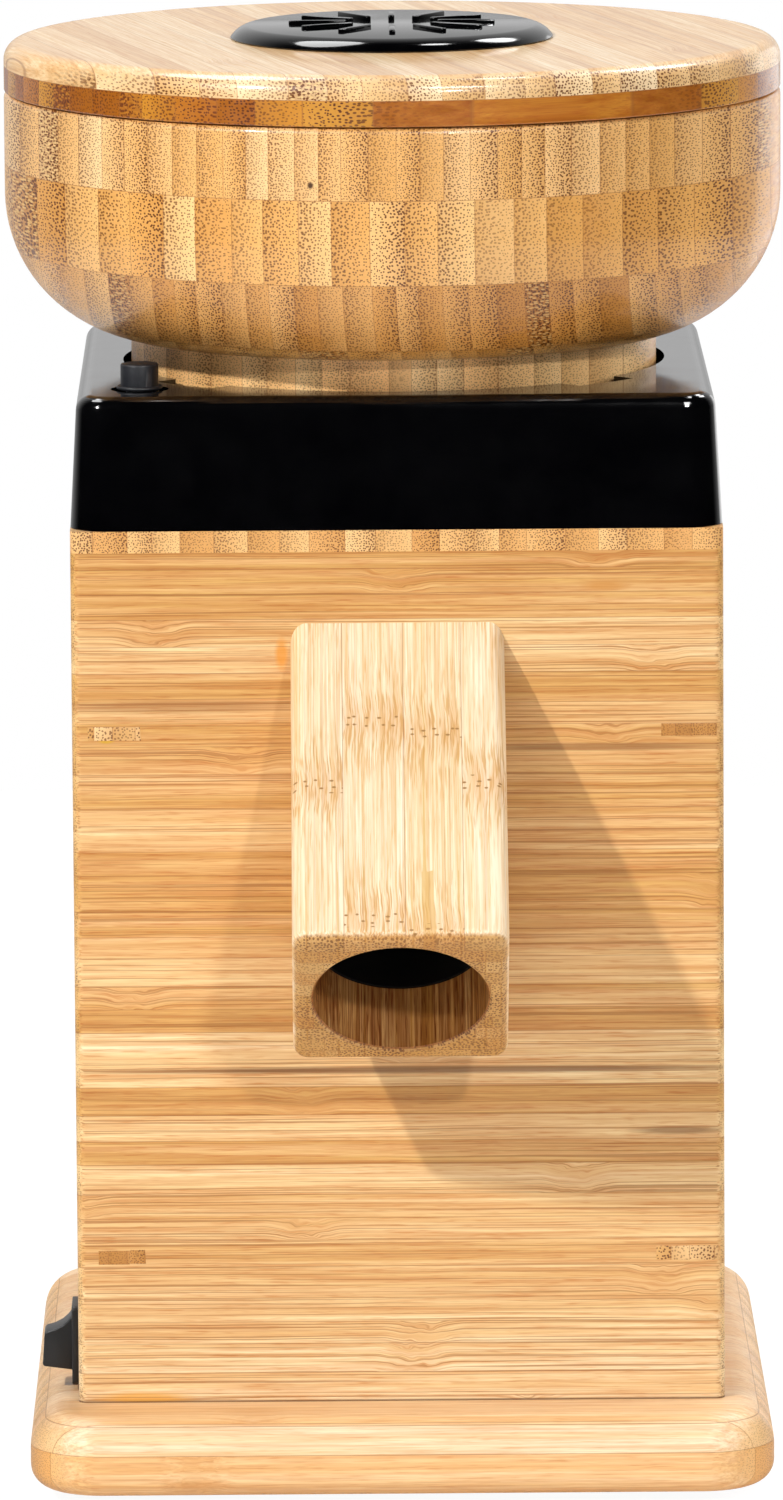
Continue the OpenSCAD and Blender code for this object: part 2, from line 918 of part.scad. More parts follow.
module guide_ring() {
    color(aluminium)
        translate([0, 0, guide_ring_z])
            difference() {
                ring(tower_bore_r, guide_ring_r, guide_ring_t);
                pin_places()
                    translate([0, 0, -drop])
                        cylinder(r = pin_r, h = guide_ring_t + 2 * drop);
            }
}

module guide_pins() {
    color(steel)
        pin_places() {
            translate([0, 0, guide_ring_z])
                cylinder(r = pin_r, h = pin_top - 1 - guide_ring_z);
            translate([0, 0, pin_top - 1])
                cylinder(r1 = pin_r, r2 = pin_r - 1, h = 1);
        }
}

lift_spring_r = 3.4;
lift_wire_r = 0.4;
lift_turns = 4;

module lift_springs() {
    color(steel)
        pin_places()
            translate([0, 0, guide_ring_z + guide_ring_t])
                coil(lift_spring_r, lift_wire_r, carrier_z - guide_ring_z - guide_ring_t, lift_turns);
}

module post_places() {
    at_corners(post_xy, post_xy)
        children();
}

module motor_posts() {
    color(aluminium)
        post_places() {
            translate([0, 0, bracket_top])
                cylinder(r = post_r, h = chamber_floor_z - chamber_floor_t - bracket_top);
            translate([0, 0, bracket_top - bracket_t])
                cylinder(r = post_screw_r, h = chamber_floor_z - bracket_top + bracket_t);
        }
}

// ---- Motor ----

bearing_lip = 1; // of a bracket before its bearing
bearing_seat_t = bearing_w + bearing_lip;
bearing_step_r = 12;
bearing_boss = 4; // wall round a bearing
vent_count = 8;
vent_r = 4;
vent_circle_r = 40;

bolt_angle = 25; // from the X axis, clear of the posts and the chute

module bolt_places() {
    at_corners(bolt_circle_r * cos(bolt_angle), bolt_circle_r * sin(bolt_angle))
        children();
}

// End bracket with its mouth down, its flat back at z = 0: cup, bearing seat and bolt ears
module end_bracket() {
    difference() {
        union() {
            translate([0, 0, -bracket_t])
                cylinder(r = bracket_r + bracket_lip, h = bracket_t);
            translate([0, 0, -bracket_t - bracket_cup_h - bracket_lap])
                cylinder(r = bracket_r, h = bracket_cup_h + bracket_lap);
            bolt_places()
                translate([0, 0, -bracket_t])
                    cylinder(r = ear_r, h = bracket_t);
        }
        difference() {
            translate([0, 0, -far - bracket_t])
                cylinder(r = bracket_r - bracket_wall, h = far);
            translate([0, 0, -bearing_seat_t])
                cylinder(r = bearing_r + bearing_boss, h = bearing_seat_t);
        }
        translate([0, 0, -far - bracket_t - bracket_cup_h])
            cylinder(r = stator_r, h = far);
        translate([0, 0, -bearing_seat_t - drop])
            cylinder(r = bearing_r, h = bearing_w + drop);
        translate([0, 0, -far / 2])
            cylinder(r = bearing_step_r, h = far);
        bolt_places()
            translate([0, 0, -bracket_t - drop])
                cylinder(r = bolt_r, h = bracket_t + 2 * drop);
        around(vent_count, vent_circle_r, 180 / vent_count)
            translate([0, 0, -bracket_t - drop])
                cylinder(r = vent_r, h = bracket_t + 2 * drop);
    }
}

module upper_bracket() {
    color(aluminium)
        difference() {
            translate([0, 0, bracket_top])
                end_bracket();
            post_places()
                translate([0, 0, bracket_top - bracket_t - drop])
                    cylinder(r = post_screw_r, h = far);
        }
}

module lower_bracket() {
    color(aluminium)
        translate([0, 0, bracket_bottom])
            mirror([0, 0, 1])
                end_bracket();
}

stator_slots = 24;
stator_slot_hole_r = 2.8;
stator_slot_circle_r = winding_inner_r + stator_slot_hole_r + 2.2;

module stator_core() {
    color(steel)
        translate([0, 0, stator_z])
            difference() {
                ring(stator_r, rotor_r + air_gap, stator_h);
                around(stator_slots, stator_slot_circle_r)
                    translate([0, 0, -drop])
                        cylinder(r = stator_slot_hole_r, h = stator_h + 2 * drop);
            }
}

// Copper bundle bound to a ring with stepped edges
module winding_ring() {
    rotate_extrude()
        translate([winding_inner_r, 0]) {
            square([winding_r - winding_inner_r, winding_h - winding_edge]);
            translate([winding_edge, 0])
                square([winding_r - winding_inner_r - 2 * winding_edge, winding_h]);
        }
}

module stator_windings() {
    color(copper) {
        translate([0, 0, stator_top])
            winding_ring();
        translate([0, 0, stator_z])
            mirror([0, 0, 1])
                winding_ring();
        around(stator_slots, stator_slot_circle_r)
            translate([0, 0, stator_z])
                cylinder(r = stator_slot_hole_r, h = stator_h);
    }
}

module motor_bolts() {
    color(steel)
        bolt_places() {
            translate([0, 0, bracket_bottom])
                cylinder(r = bolt_r, h = bracket_top - bracket_bottom);
            translate([0, 0, bracket_bottom - bolt_head_t])
                hexagon(bolt_head_af, bolt_head_t);
            translate([0, 0, bracket_top])
                hexagon(bolt_head_af, bolt_head_t);
        }
}

// Both bearings stand in the end brackets
module bearing_places() {
    for (z = [bracket_bottom + bearing_lip, bracket_top - bearing_w - bearing_lip])
        translate([0, 0, z])
            children();
}

bearing_race = 3;
ball_count = 9;

module bearing_outer_rings() {
    color(steel)
        bearing_places()
            ring(bearing_r, bearing_r - bearing_race, bearing_w);
}

module bearing_inner_rings() {
    color(steel)
        bearing_places()
            ring(shaft_r + bearing_race, shaft_r, bearing_w);
}

module bearing_balls() {
    track = (bearing_r + shaft_r) / 2;
    ball_r = (bearing_r - shaft_r) / 2 - bearing_race - fit;
    color(steel)
        bearing_places()
            around(ball_count, track)
                translate([0, 0, bearing_w / 2])
                    sphere(ball_r);
}

module motor_shaft() {
    color(steel) {
        translate([0, 0, shaft_bottom])
            cylinder(r = shaft_r, h = shaft_top - shaft_bottom);
        translate([0, 0, shaft_bottom - 1])
            cylinder(r1 = shaft_r - 1, r2 = shaft_r, h = 1);
    }
}

rotor_ring_h = 4;

module rotor_core() {
    color("#74777c")
        translate([0, 0, stator_z])
            difference() {
                union() {
                    cylinder(r = rotor_r, h = stator_h);
                    translate([0, 0, -rotor_ring_h])
                        cylinder(r = rotor_r - 2, h = stator_h + 2 * rotor_ring_h);
                }
                translate([0, 0, -rotor_ring_h - drop])
                    cylinder(r = shaft_r, h = far);
            }
}

fan_hub_r = 12;
fan_disc_t = 1.6;
blade_t = 1.6;

module cooling_fan() {
    color(charcoal)
        translate([0, 0, fan_z])
            difference() {
                union() {
                    cylinder(r = fan_hub_r, h = fan_h);
                    cylinder(r = fan_r, h = fan_disc_t);
                    for (i = [0 : fan_blades - 1])
                        rotate(i * 360 / fan_blades)
                            translate([fan_hub_r - 1, -blade_t / 2, 0])
                                cube([fan_r - fan_hub_r, blade_t, fan_h]);
                }
                translate([0, 0, -drop])
                    cylinder(r = shaft_r, h = far);
            }
}

// ---- Runner with the lower stone ----

module stone_runner() {
    color(aluminium)
        difference() {
            translate([0, 0, runner_z]) {
                cylinder(r = runner_r, h = runner_t);
                cylinder(r = hub_r, h = runner_t + hub_h);
                for (i = [0 : paddle_count - 1])
                    rotate(i * 360 / paddle_count)
                        translate([runner_r - paddle_root, -paddle_t / 2, -1])
                            cube([paddle_r - runner_r + paddle_root, paddle_t, runner_t + 1]);
            }
            translate([0, 0, runner_z - 2])
                cylinder(r = shaft_r, h = far);
        }
}

furrows = 12;
furrow_w = 2.4;
furrow_t = 1;
furrow_offset = 6; // from the mill axis, so that the furrows shear the grain
furrow_land = 3; // plain land between a furrow's end and the stone's rim
eye_flare = 8;
eye_flare_h = 5;

// Stone with feed eye; the grinding face at z = 0, the body above it
module millstone(r, t, hole_r) {
    difference() {
        ring(r, hole_r, t);
        translate([0, 0, -drop])
            cylinder(r1 = hole_r + eye_flare, r2 = hole_r, h = eye_flare_h);
        for (i = [0 : furrows - 1])
            rotate(i * 360 / furrows)
                translate([hole_r - 1, furrow_offset - furrow_w / 2, -drop])
                    cube([r - hole_r - furrow_land, furrow_w, furrow_t]);
    }
}

module lower_stone() {
    color(corundum)
        translate([0, 0, grind_z - stone_gap / 2])
            mirror([0, 0, 1])
                millstone(stone_r, stone_t, hub_r);
}

module runner_nut() {
    color(steel)
        translate([0, 0, runner_z + runner_t + hub_h])
            difference() {
                union() {
                    hexagon(nut_af, nut_t);
                    cylinder(r = hub_r, h = nut_collar_t);
                }
                translate([0, 0, -drop])
                    cylinder(r = shaft_r, h = far);
            }
}

// ---- Carrier with the upper stone ----

stone_screw_circle_r = 29;
stone_screw_angle = 30; // clear of the guide pins
stone_screw_r = 2;
stone_screw_head_r = 3.8;
stone_screw_grip = 7; // length in the stone

module stone_screw_places() {
    around(3, stone_screw_circle_r, stone_screw_angle)
        children();
}

module upper_stone() {
    color(corundum)
        difference() {
            translate([0, 0, grind_z + stone_gap / 2])
                millstone(stone_r, stone_t, eye_r);
            stone_screw_places()
                translate([0, 0, carrier_z - stone_screw_grip])
                    cylinder(r = stone_screw_r, h = far);
        }
}

module stone_carrier() {
    color(aluminium)
        difference() {
            translate([0, 0, carrier_z]) {
                ring(carrier_r, eye_r, carrier_t);
                translate([0, 0, -carrier_rim_h])
                    ring(stone_r + carrier_rim, stone_r, carrier_rim_h + drop);
            }
            pin_places()
                translate([0, 0, carrier_z - drop])
                    cylinder(r = pin_r + fit, h = carrier_t + 2 * drop);
            stone_screw_places()
                translate([0, 0, carrier_z + carrier_t])
                    mirror([0, 0, 1])
                        countersink(stone_screw_r, stone_screw_head_r);
            glide_pocket();
        }
}

glide_pocket_t = 1;
glide_lip = 1.5; // of the glide ring outside its pocket

module glide_pocket() {
    translate([0, 0, carrier_z + carrier_t - glide_pocket_t])
        ring(glide_r - glide_lip, glide_inner_r + 1, glide_pocket_t + drop);
}

module stone_screws() {
    color(steel)
        stone_screw_places()
            translate([0, 0, carrier_z + carrier_t])
                mirror([0, 0, 1])
                    countersunk_screw(stone_screw_r, stone_screw_head_r, carrier_t + stone_screw_grip);
}

module glide_ring() {
    color("#e8e4d8") {
        translate([0, 0, carrier_z + carrier_t])
            ring(glide_r, glide_inner_r, glide_t);
        translate([0, 0, carrier_z + carrier_t - glide_pocket_t])
            ring(glide_r - glide_lip, glide_inner_r + 1, glide_pocket_t + drop);
    }
}

// ---- Hopper ----

// Half section of the turned bowl, from the mill axis outwards
module bowl_section() {
    arc_z = bowl_bottom + bowl_arc_lift;
    // straight outer wall
    translate([0, arc_z])
        square([bowl_r, rim_z - arc_z]);
    // rounded flank
    intersection() {
        translate([bowl_r - bowl_arc_r, arc_z])
            circle(bowl_arc_r);
        translate([0, bowl_bottom])
            square([bowl_r, bowl_h]);
    }
    translate([0, bowl_bottom])
        square([neck_r + bowl_foot_w, bowl_h]);
}

// height of the flank's centre above the bowl's underside
bowl_arc_lift = sqrt(pow(bowl_arc_r, 2) - pow(neck_r + bowl_foot_w - bowl_r + bowl_arc_r, 2));

module hopper_bowl() {
    inner_top = rim_z - bowl_straight_h;
    color(bamboo_dark)
        difference() {
            rotate_extrude($fn = turned_fn)
                bowl_section();
            // grain space: straight wall, then a funnel
            translate([0, 0, inner_top])
                cylinder(r = bowl_inner_r, h = far);
            translate([0, 0, funnel_z])
                cylinder(r1 = feed_hole_r, r2 = bowl_inner_r, h = inner_top - funnel_z + drop);
            cylinder(r = feed_hole_r, h = far);
        }
}

// Block glued under the bowl: the neck's wall and the floor that the ring and the throat are screwed to
module hopper_neck() {
    color(bamboo_dark)
        difference() {
            translate([0, 0, neck_bottom])
                ring(neck_r, feed_hole_r, bowl_bottom - neck_bottom);
            translate([0, 0, neck_bottom - drop])
                cylinder(r = neck_inner_r, h = floor_z - neck_bottom + drop);
            ring_screw_places()
                cylinder(r = ring_screw_r, h = ring_screw_len);
            throat_screw_places()
                cylinder(r = throat_screw_r, h = throat_screw_len);
        }
}

ring_screw_r = 1.4;
ring_screw_head_r = 2.4;
ring_screw_len = 13;
ring_screw_count = 6;
ring_screw_angle = 15;
ring_screw_circle_r = (neck_r + neck_inner_r) / 2;

module ring_screw_places() {
    around(ring_screw_count, ring_screw_circle_r, ring_screw_angle)
        translate([0, 0, ring_flange_z])
            children();
}

module adjusting_ring() {
    color(aluminium)
        difference() {
            union() {
                translate([0, 0, ring_flange_z])
                    cylinder(r = neck_inner_r, h = floor_z - ring_flange_z);
                translate([0, 0, ring_flange_z])
                    cylinder(r = neck_r - ring_inset, h = ring_flange_t);
                rotate(lug_start)
                    translate([0, 0, lug_z])
                        rotate_extrude(angle = lug_angle)
                            translate([tower_r + 2, 0])
                                square([lug_reach - tower_r - 2, ring_flange_z - lug_z + 1]);
            }
            translate([0, 0, lug_z - drop])
                cylinder(r = tower_r + fit, h = far);
            ring_screw_places()
                countersink(ring_screw_r, ring_screw_head_r);
        }
}

module ring_screws() {
    color(steel)
        ring_screw_places()
            countersunk_screw(ring_screw_r, ring_screw_head_r, ring_screw_len);
}

throat_screw_r = 1.5;
throat_screw_head_r = 2.8;
throat_screw_head_t = 1.4;
throat_screw_len = 8;
throat_screw_circle_r = glide_r + 0.5 + throat_screw_head_r + gap;

module throat_screw_places() {
    around(3, throat_screw_circle_r, 45)
        translate([0, 0, floor_z - throat_flange_t])
            children();
}

module feed_throat() {
    color("#c9ccd0")
        difference() {
            union() {
                translate([0, 0, floor_z - throat_flange_t])
                    cylinder(r = throat_flange_r, h = throat_flange_t);
                translate([0, 0, throat_z])
                    cylinder(r = glide_r + 0.5, h = floor_z - throat_z);
                translate([0, 0, carrier_z + carrier_t - nozzle_dip])
                    cylinder(r = nozzle_r, h = floor_z - carrier_z);
                translate([0, 0, floor_z - drop])
                    cylinder(r = feed_hole_r, h = funnel_z - floor_z);
            }
            cylinder(r = throat_bore_r, h = far);
            translate([0, 0, guard_z])
                cylinder(r = throat_inner_r, h = far);
            throat_screw_places()
                translate([0, 0, -drop])
                    cylinder(r = throat_screw_r, h = far);
        }
}

module throat_screws() {
    color(steel)
        throat_screw_places()
            pan_screw(throat_screw_r, throat_screw_head_r, throat_screw_head_t, throat_screw_len);
}

guard_z = floor_z + 2;
guard_wire_r = 0.9;

module finger_guard() {
    color(steel)
        translate([0, 0, guard_z]) {
            ring(throat_inner_r, throat_inner_r - 2 * guard_wire_r, 2 * guard_wire_r);
            translate([0, 0, guard_wire_r])
                rotate([0, 90, 0])
                    cylinder(r = guard_wire_r, h = 2 * throat_inner_r - 2, center = true);
            translate([0, 0, guard_wire_r])
                rotate([90, 0, 0])
                    cylinder(r = guard_wire_r, h = 2 * throat_inner_r - 2, center = true);
        }
}

// ---- Lid ----

lid_arris = 0.4;
spigot_clear = 1;
spigot_edge_r = 1;
knob_screw_circle_r = 22;
knob_screw_r = 2;
knob_screw_head_r = 3.6;
knob_screw_head_t = 2;
knob_screw_sink = 4; // depth of the counterbore under the lid
knob_screw_cover = 1.5; // of the knob plate over the screw's end

module knob_screw_places() {
    around(3, knob_screw_circle_r, 90)
        translate([0, 0, lid_bottom - lid_spigot_h])
            children();
}

module lid() {
    color(bamboo_pale)
        difference() {
            union() {
                translate([0, 0, lid_bottom])
                    rotate_extrude($fn = turned_fn)
                        rim_section(bowl_r, lid_top - lid_bottom, lid_edge_r, lid_arris);
                translate([0, 0, lid_bottom - lid_spigot_h])
                    rotate_extrude($fn = turned_fn)
                        rim_section(bowl_inner_r - spigot_clear, lid_spigot_h + spigot_edge_r, lid_arris, spigot_edge_r);
            }
            knob_screw_places()
                translate([0, 0, -drop]) {
                    cylinder(r = knob_screw_r, h = far);
                    cylinder(r = knob_screw_head_r + 2 * gap, h = knob_screw_sink + drop);
                }
        }
}

knob_foot_h = 0.8; // upright edge under the shoulder
knob_shoulder_h = knob_h - knob_foot_h;
knob_shoulder_r = (knob_shoulder ^ 2 + knob_shoulder_h ^ 2) / 2 / knob_shoulder_h; // arc, level at the top
rib_r = 1; // half width and end radius of a rib
rib_h = 0.8;
rib_start = knob_r * 0.3;
rib_end = knob_r * 0.62;

module knob_section() {
    square([knob_r, knob_foot_h]);
    square([knob_r - knob_shoulder, knob_h]);
    intersection() {
        translate([knob_r - knob_shoulder, knob_h - knob_shoulder_r])
            circle(knob_shoulder_r, $fn = 2 * turned_fn);
        translate([knob_r - knob_shoulder, 0])
            square([knob_shoulder, knob_h]);
    }
}

// A bar along X with round ends
module grip_rib() {
    translate([rib_start, -rib_r, knob_h - drop])
        cube([rib_end - rib_start, 2 * rib_r, rib_h + drop]);
    for (x = [rib_start, rib_end])
        translate([x, 0, knob_h - drop])
            cylinder(r = rib_r, h = rib_h + drop, $fn = 24);
}

module knob_plate() {
    color(gloss_black)
        translate([0, 0, lid_top])
            difference() {
                union() {
                    rotate_extrude($fn = turned_fn)
                        knob_section();
                    around(knob_ribs, 0)
                        grip_rib();
                }
                around(3, knob_screw_circle_r, 90)
                    translate([0, 0, -drop])
                        cylinder(r = knob_screw_r, h = knob_h - knob_screw_cover + drop);
            }
}

module knob_screws() {
    color(steel)
        knob_screw_places()
            translate([0, 0, knob_screw_sink])
                pan_screw(knob_screw_r, knob_screw_head_r, knob_screw_head_t,
                    lid_top + knob_h - knob_screw_cover - lid_bottom + lid_spigot_h - knob_screw_sink);
}

// ---- Release button ----

module release_button() {
    cap_top = cover_top + button_h;
    color(slate)
        translate(button_at) {
            translate([0, 0, cover_top])
                rotate_extrude()
                    rim_section(button_r, button_h, button_edge_r, 0);
            translate([0, 0, cover_top])
                cylinder(r = button_flange_r, h = button_flange_t);
            translate([0, 0, pawl_z])
                cylinder(r = stem_r, h = cover_top - pawl_z + drop);
        }
}

module lock_pawl() {
    button_r_from_axis = norm([button_x, button_y]);
    color(steel)
        translate([0, 0, pawl_z])
            difference() {
                linear_extrude(pawl_t)
                    rotate(button_angle) {
                        translate([pawl_reach, -pawl_w / 2])
                            square([button_r_from_axis - pawl_reach, pawl_w]);
                        translate([button_r_from_axis, 0])
                            circle(pawl_w / 2 + 2);
                    }
                translate(button_at)
                    translate([0, 0, -drop])
                        cylinder(r = stem_r, h = pawl_t + 2 * drop);
            }
}

module lock_guide() {
    top = cover_top - cover_wall;
    color(charcoal)
        translate(button_at)
            difference() {
                union() {
                    translate([0, 0, guide_floor_z])
                        cylinder(r = button_hole_r + guide_wall, h = top - guide_floor_z);
                    translate([0, 0, top - guide_lip_t])
                        cylinder(r = button_hole_r + guide_lip, h = guide_lip_t);
                }
                translate([0, 0, guide_floor_z + guide_floor_t])
                    cylinder(r = button_hole_r, h = far);
                cylinder(r = stem_r + fit, h = far);
            }
}

module lock_spring() {
    bottom = guide_floor_z + guide_floor_t;
    color(steel)
        translate(button_at)
            translate([0, 0, bottom])
                coil(lock_coil_r, lock_wire_r, cover_top - bottom, lock_turns);
}

// ---- Switch ----

module switch_place() {
    translate([switch_x, -switch_y, switch_z])
        children();
}

module switch_body() {
    color(charcoal)
        switch_place()
            difference() {
                union() {
                    rotate([0, -90, 0])
                        plate(bezel_h, bezel_w, bezel_t, bezel_edge_r);
                    translate([0, -switch_cut_w / 2, -switch_cut_h / 2])
                        cube([switch_body_depth, switch_cut_w, switch_cut_h]);
                    for (i = [-1 : 1])
                        translate([switch_body_depth, -terminal_w / 2, i * terminal_pitch - terminal_t / 2])
                            cube([terminal_len, terminal_w, terminal_t]);
                }
                translate([-bezel_t - drop, -switch_cut_w / 2 + switch_wall, -switch_cut_h / 2 + switch_wall])
                    cube([rocker_well, switch_cut_w - 2 * switch_wall, switch_cut_h - 2 * switch_wall]);
                rotate([90, 0, 0])
                    cylinder(r = rocker_pin_r, h = switch_cut_w - switch_wall, center = true);
            }
}

terminal_t = 0.8;
terminal_w = 6;
terminal_len = 8;
terminal_pitch = 6;
switch_wall = 1.3;
rocker_well = 17; // depth of the well that the rocker swings in
rocker_pin_r = 1.2;
paddle_w = switch_cut_w - 2 * switch_wall - 2 * gap;

// Rocker seen from the front: x is outwards (negative) and y is up, its pin at the origin
module rocker_section() {
    polygon([[3.2, 4.5], [-1.6, 7.7], [-2.2, 7.4], [-3.1, 6.2], [-4.5, 5.0], [-6.5, 4.0], [-8.6, 3.4], [-9.2, 2.8],
        [-9.7, -5.2], [-9.4, -5.8], [-1.8, -6.8], [3.2, -4.5]]);
}

module switch_paddle() {
    color("#2f2f31")
        switch_place() {
            rotate([90, 0, 0])
                translate([0, 0, -paddle_w / 2])
                    linear_extrude(paddle_w)
                        rocker_section();
            rotate([90, 0, 0])
                cylinder(r = rocker_pin_r - fit, h = paddle_w + switch_wall, center = true);
        }
}

// ---- Capacitor and cable entry ----

capacitor_back = 8; // from the back panel
clip_foot_t = 1.5;
capacitor_x = inner_w / 2 - capacitor_r - clip_foot_t;
capacitor_y = inner_d / 2 - capacitor_r - capacitor_back;
clip_w = 10;
clip_t = 1;
clip_screw_r = 1.5;
clip_h = 30; // above the base board
clip_end = 5; // beyond the clip's screw
clip_foot_y = capacitor_y - capacitor_r - clip_end;
capacitor_edge_r = 1.5;
tag_t = 0.8;
tag_w = 6;
tag_h = 8;
tag_x = 4;

module clip_place() {
    translate([-inner_w / 2, clip_foot_y, base_top + clip_h + clip_w / 2])
        children();
}

module run_capacitor() {
    color("#c8ccd2")
        translate([-capacitor_x, capacitor_y, base_top]) {
            rotate_extrude()
                rim_section(capacitor_r, capacitor_h, capacitor_edge_r, capacitor_edge_r);
            for (x = [-tag_x, tag_x])
                translate([x - tag_t / 2, -tag_w / 2, capacitor_h - drop])
                    cube([tag_t, tag_w, tag_h]);
        }
}

module capacitor_clip() {
    color(steel)
        difference() {
            union() {
                translate([-capacitor_x, capacitor_y, base_top + clip_h])
                    cylinder(r = capacitor_r + clip_t, h = clip_w);
                translate([-inner_w / 2, clip_foot_y - clip_end, base_top + clip_h])
                    cube([clip_foot_t, capacitor_y - clip_foot_y + clip_end, clip_w]);
            }
            translate([-capacitor_x, capacitor_y, base_top])
                cylinder(r = capacitor_r, h = far);
            clip_place()
                rotate([0, 90, 0])
                    cylinder(r = clip_screw_r, h = panel_t, center = true);
        }
}

module cable_gland() {
    color(charcoal)
        gland_place()
            difference() {
                union() {
                    translate([0, 0, -gland_flange_t])
                        cylinder(r = gland_flange_r, h = gland_flange_t);
                    translate([0, 0, -gland_flange_t - gland_cap_h])
                        hexagon(gland_cap_af, gland_cap_h);
                    translate([0, 0, -gland_flange_t - gland_cap_h - gland_nose_h])
                        cylinder(r1 = gland_nose_r, r2 = gland_nose_r + 2, h = gland_nose_h);
                    cylinder(r = gland_thread_r, h = panel_t + gland_nut_t + 1);
                }
                translate([0, 0, -far / 2])
                    cylinder(r = gland_bore_r, h = far);
            }
}

module gland_nut() {
    color(charcoal)
        gland_place()
            translate([0, 0, panel_t])
                difference() {
                    hexagon(gland_nut_af, gland_nut_t);
                    translate([0, 0, -drop])
                        cylinder(r = gland_thread_r, h = far);
                }
}

// ---- One line per node ----

base_board();
rubber_feet();
foot_screws();
base_screws();
front_panel();
back_panel();
left_panel();
right_panel();
corner_blocks();
top_deck();
top_cover();
cover_screws();
spout();
flour_chute();
chute_screws();
milling_chamber();
chamber_screws();
shaft_seal();
guide_ring();
guide_pins();
lift_springs();
motor_posts();
upper_bracket();
lower_bracket();
stator_core();
stator_windings();
motor_bolts();
bearing_outer_rings();
bearing_balls();
run_capacitor();
capacitor_clip();
switch_body();
cable_gland();
gland_nut();
lock_guide();
lock_spring();
stone_carrier();
upper_stone();
stone_screws();
glide_ring();
hopper_bowl();
hopper_neck();
adjusting_ring();
ring_screws();
feed_throat();
throat_screws();
finger_guard();
lid();
knob_plate();
knob_screws();
release_button();
lock_pawl();
switch_paddle();
motor_shaft();
rotor_core();
cooling_fan();
bearing_inner_rings();
stone_runner();
lower_stone();
runner_nut();
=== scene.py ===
# Electric grain mill: a bamboo case with a black cover, a turned bamboo hopper and a flour spout.
# The scene is in metres; the values below are in millimetres unless a note says otherwise.
import json
from math import cos, pi, radians, sin

import bmesh
import bpy
from mathutils import Matrix, Vector

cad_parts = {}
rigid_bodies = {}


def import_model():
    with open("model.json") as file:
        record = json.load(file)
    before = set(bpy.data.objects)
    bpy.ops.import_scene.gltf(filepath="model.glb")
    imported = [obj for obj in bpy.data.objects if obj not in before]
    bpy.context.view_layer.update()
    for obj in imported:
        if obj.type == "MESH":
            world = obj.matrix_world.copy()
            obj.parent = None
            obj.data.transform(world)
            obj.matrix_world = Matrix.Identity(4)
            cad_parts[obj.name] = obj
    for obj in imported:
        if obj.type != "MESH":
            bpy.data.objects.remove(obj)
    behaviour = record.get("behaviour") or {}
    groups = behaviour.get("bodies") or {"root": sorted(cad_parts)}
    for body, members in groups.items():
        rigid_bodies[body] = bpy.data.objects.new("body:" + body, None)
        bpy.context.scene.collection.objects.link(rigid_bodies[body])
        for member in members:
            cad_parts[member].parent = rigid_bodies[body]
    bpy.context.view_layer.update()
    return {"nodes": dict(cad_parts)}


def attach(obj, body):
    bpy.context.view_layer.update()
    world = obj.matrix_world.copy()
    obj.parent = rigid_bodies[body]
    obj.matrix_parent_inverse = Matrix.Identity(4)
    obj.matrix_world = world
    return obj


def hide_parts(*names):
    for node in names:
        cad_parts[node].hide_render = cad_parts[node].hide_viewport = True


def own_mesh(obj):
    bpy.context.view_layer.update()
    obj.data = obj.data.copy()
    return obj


for thing in list(bpy.data.objects):
    bpy.data.objects.remove(thing)
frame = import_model()
nodes = frame["nodes"]
scene = bpy.context.scene
print("frame loaded:", len(nodes), "parts")

cameraValues = {
    "place": (-0.0176, -3.154, 0.6888),      # m
    "yaw": -0.297,       # degrees, turned about the vertical
    "pitch": 9.138,      # degrees, looking down
    "roll": -0.366,      # degrees
    "lens": 289.77,      # a long lens from three metres away
    "farClip": 50,       # m
}


def addCamera(values):
    data = bpy.data.cameras.new("camera")
    data.lens = values["lens"]
    data.clip_end = values["farClip"]
    camera = bpy.data.objects.new("camera", data)
    scene.collection.objects.link(camera)
    turn = (Matrix.Rotation(radians(values["yaw"]), 4, "Z")
            @ Matrix.Rotation(radians(90 - values["pitch"]), 4, "X")
            @ Matrix.Rotation(radians(values["roll"]), 4, "Z"))
    camera.matrix_world = Matrix.Translation(values["place"]) @ turn
    scene.camera = camera


addCamera(cameraValues)
scene.view_settings.view_transform = "Standard"
print("camera set")


def hexColour(code):
    # an sRGB hex colour as the linear one that Blender's sockets take
    channels = [int(code[i:i + 2], 16) / 255 for i in (1, 3, 5)]
    linear = [c / 12.92 if c <= 0.04045 else ((c + 0.055) / 1.055) ** 2.4 for c in channels]
    return (*linear, 1.0)


def addNode(tree, kind, links=None, out=0, ramp=None, **settings):
    # a node with its settings; each link is a socket of another node or a plain value
    node = tree.nodes.new("ShaderNode" + kind)
    for field, value in settings.items():
        setattr(node, field, value)
    if ramp:
        while len(node.color_ramp.elements) < len(ramp):
            node.color_ramp.elements.new(0.5)
        for element, (place, colour) in zip(node.color_ramp.elements, ramp):
            element.position = place
            element.color = hexColour(colour)
    for socket, value in (links or {}).items():
        if isinstance(value, bpy.types.NodeSocket):
            tree.links.new(value, node.inputs[socket])
        else:
            node.inputs[socket].default_value = value
    return node.outputs[out]


def newMaterial(name):
    material = bpy.data.materials.new(name)
    material.use_nodes = True
    material.node_tree.nodes.clear()
    return material, material.node_tree


def patternPlace(tree, turn=(0, 0, 0), source="Object", scale=1000):
    # object coordinates in millimetres, or the way the surface faces, turned so that a pattern lies along
    # the piece
    found = addNode(tree, "TexCoord", out=source)
    return addNode(tree, "Mapping", {"Vector": found, "Scale": (scale, scale, scale),
                                     "Rotation": [radians(angle) for angle in turn]})


def span(ends, unit=1):
    # settings of a Map Range: where something starts and where it is full
    return {"From Min": ends[0] / unit, "From Max": ends[1] / unit}


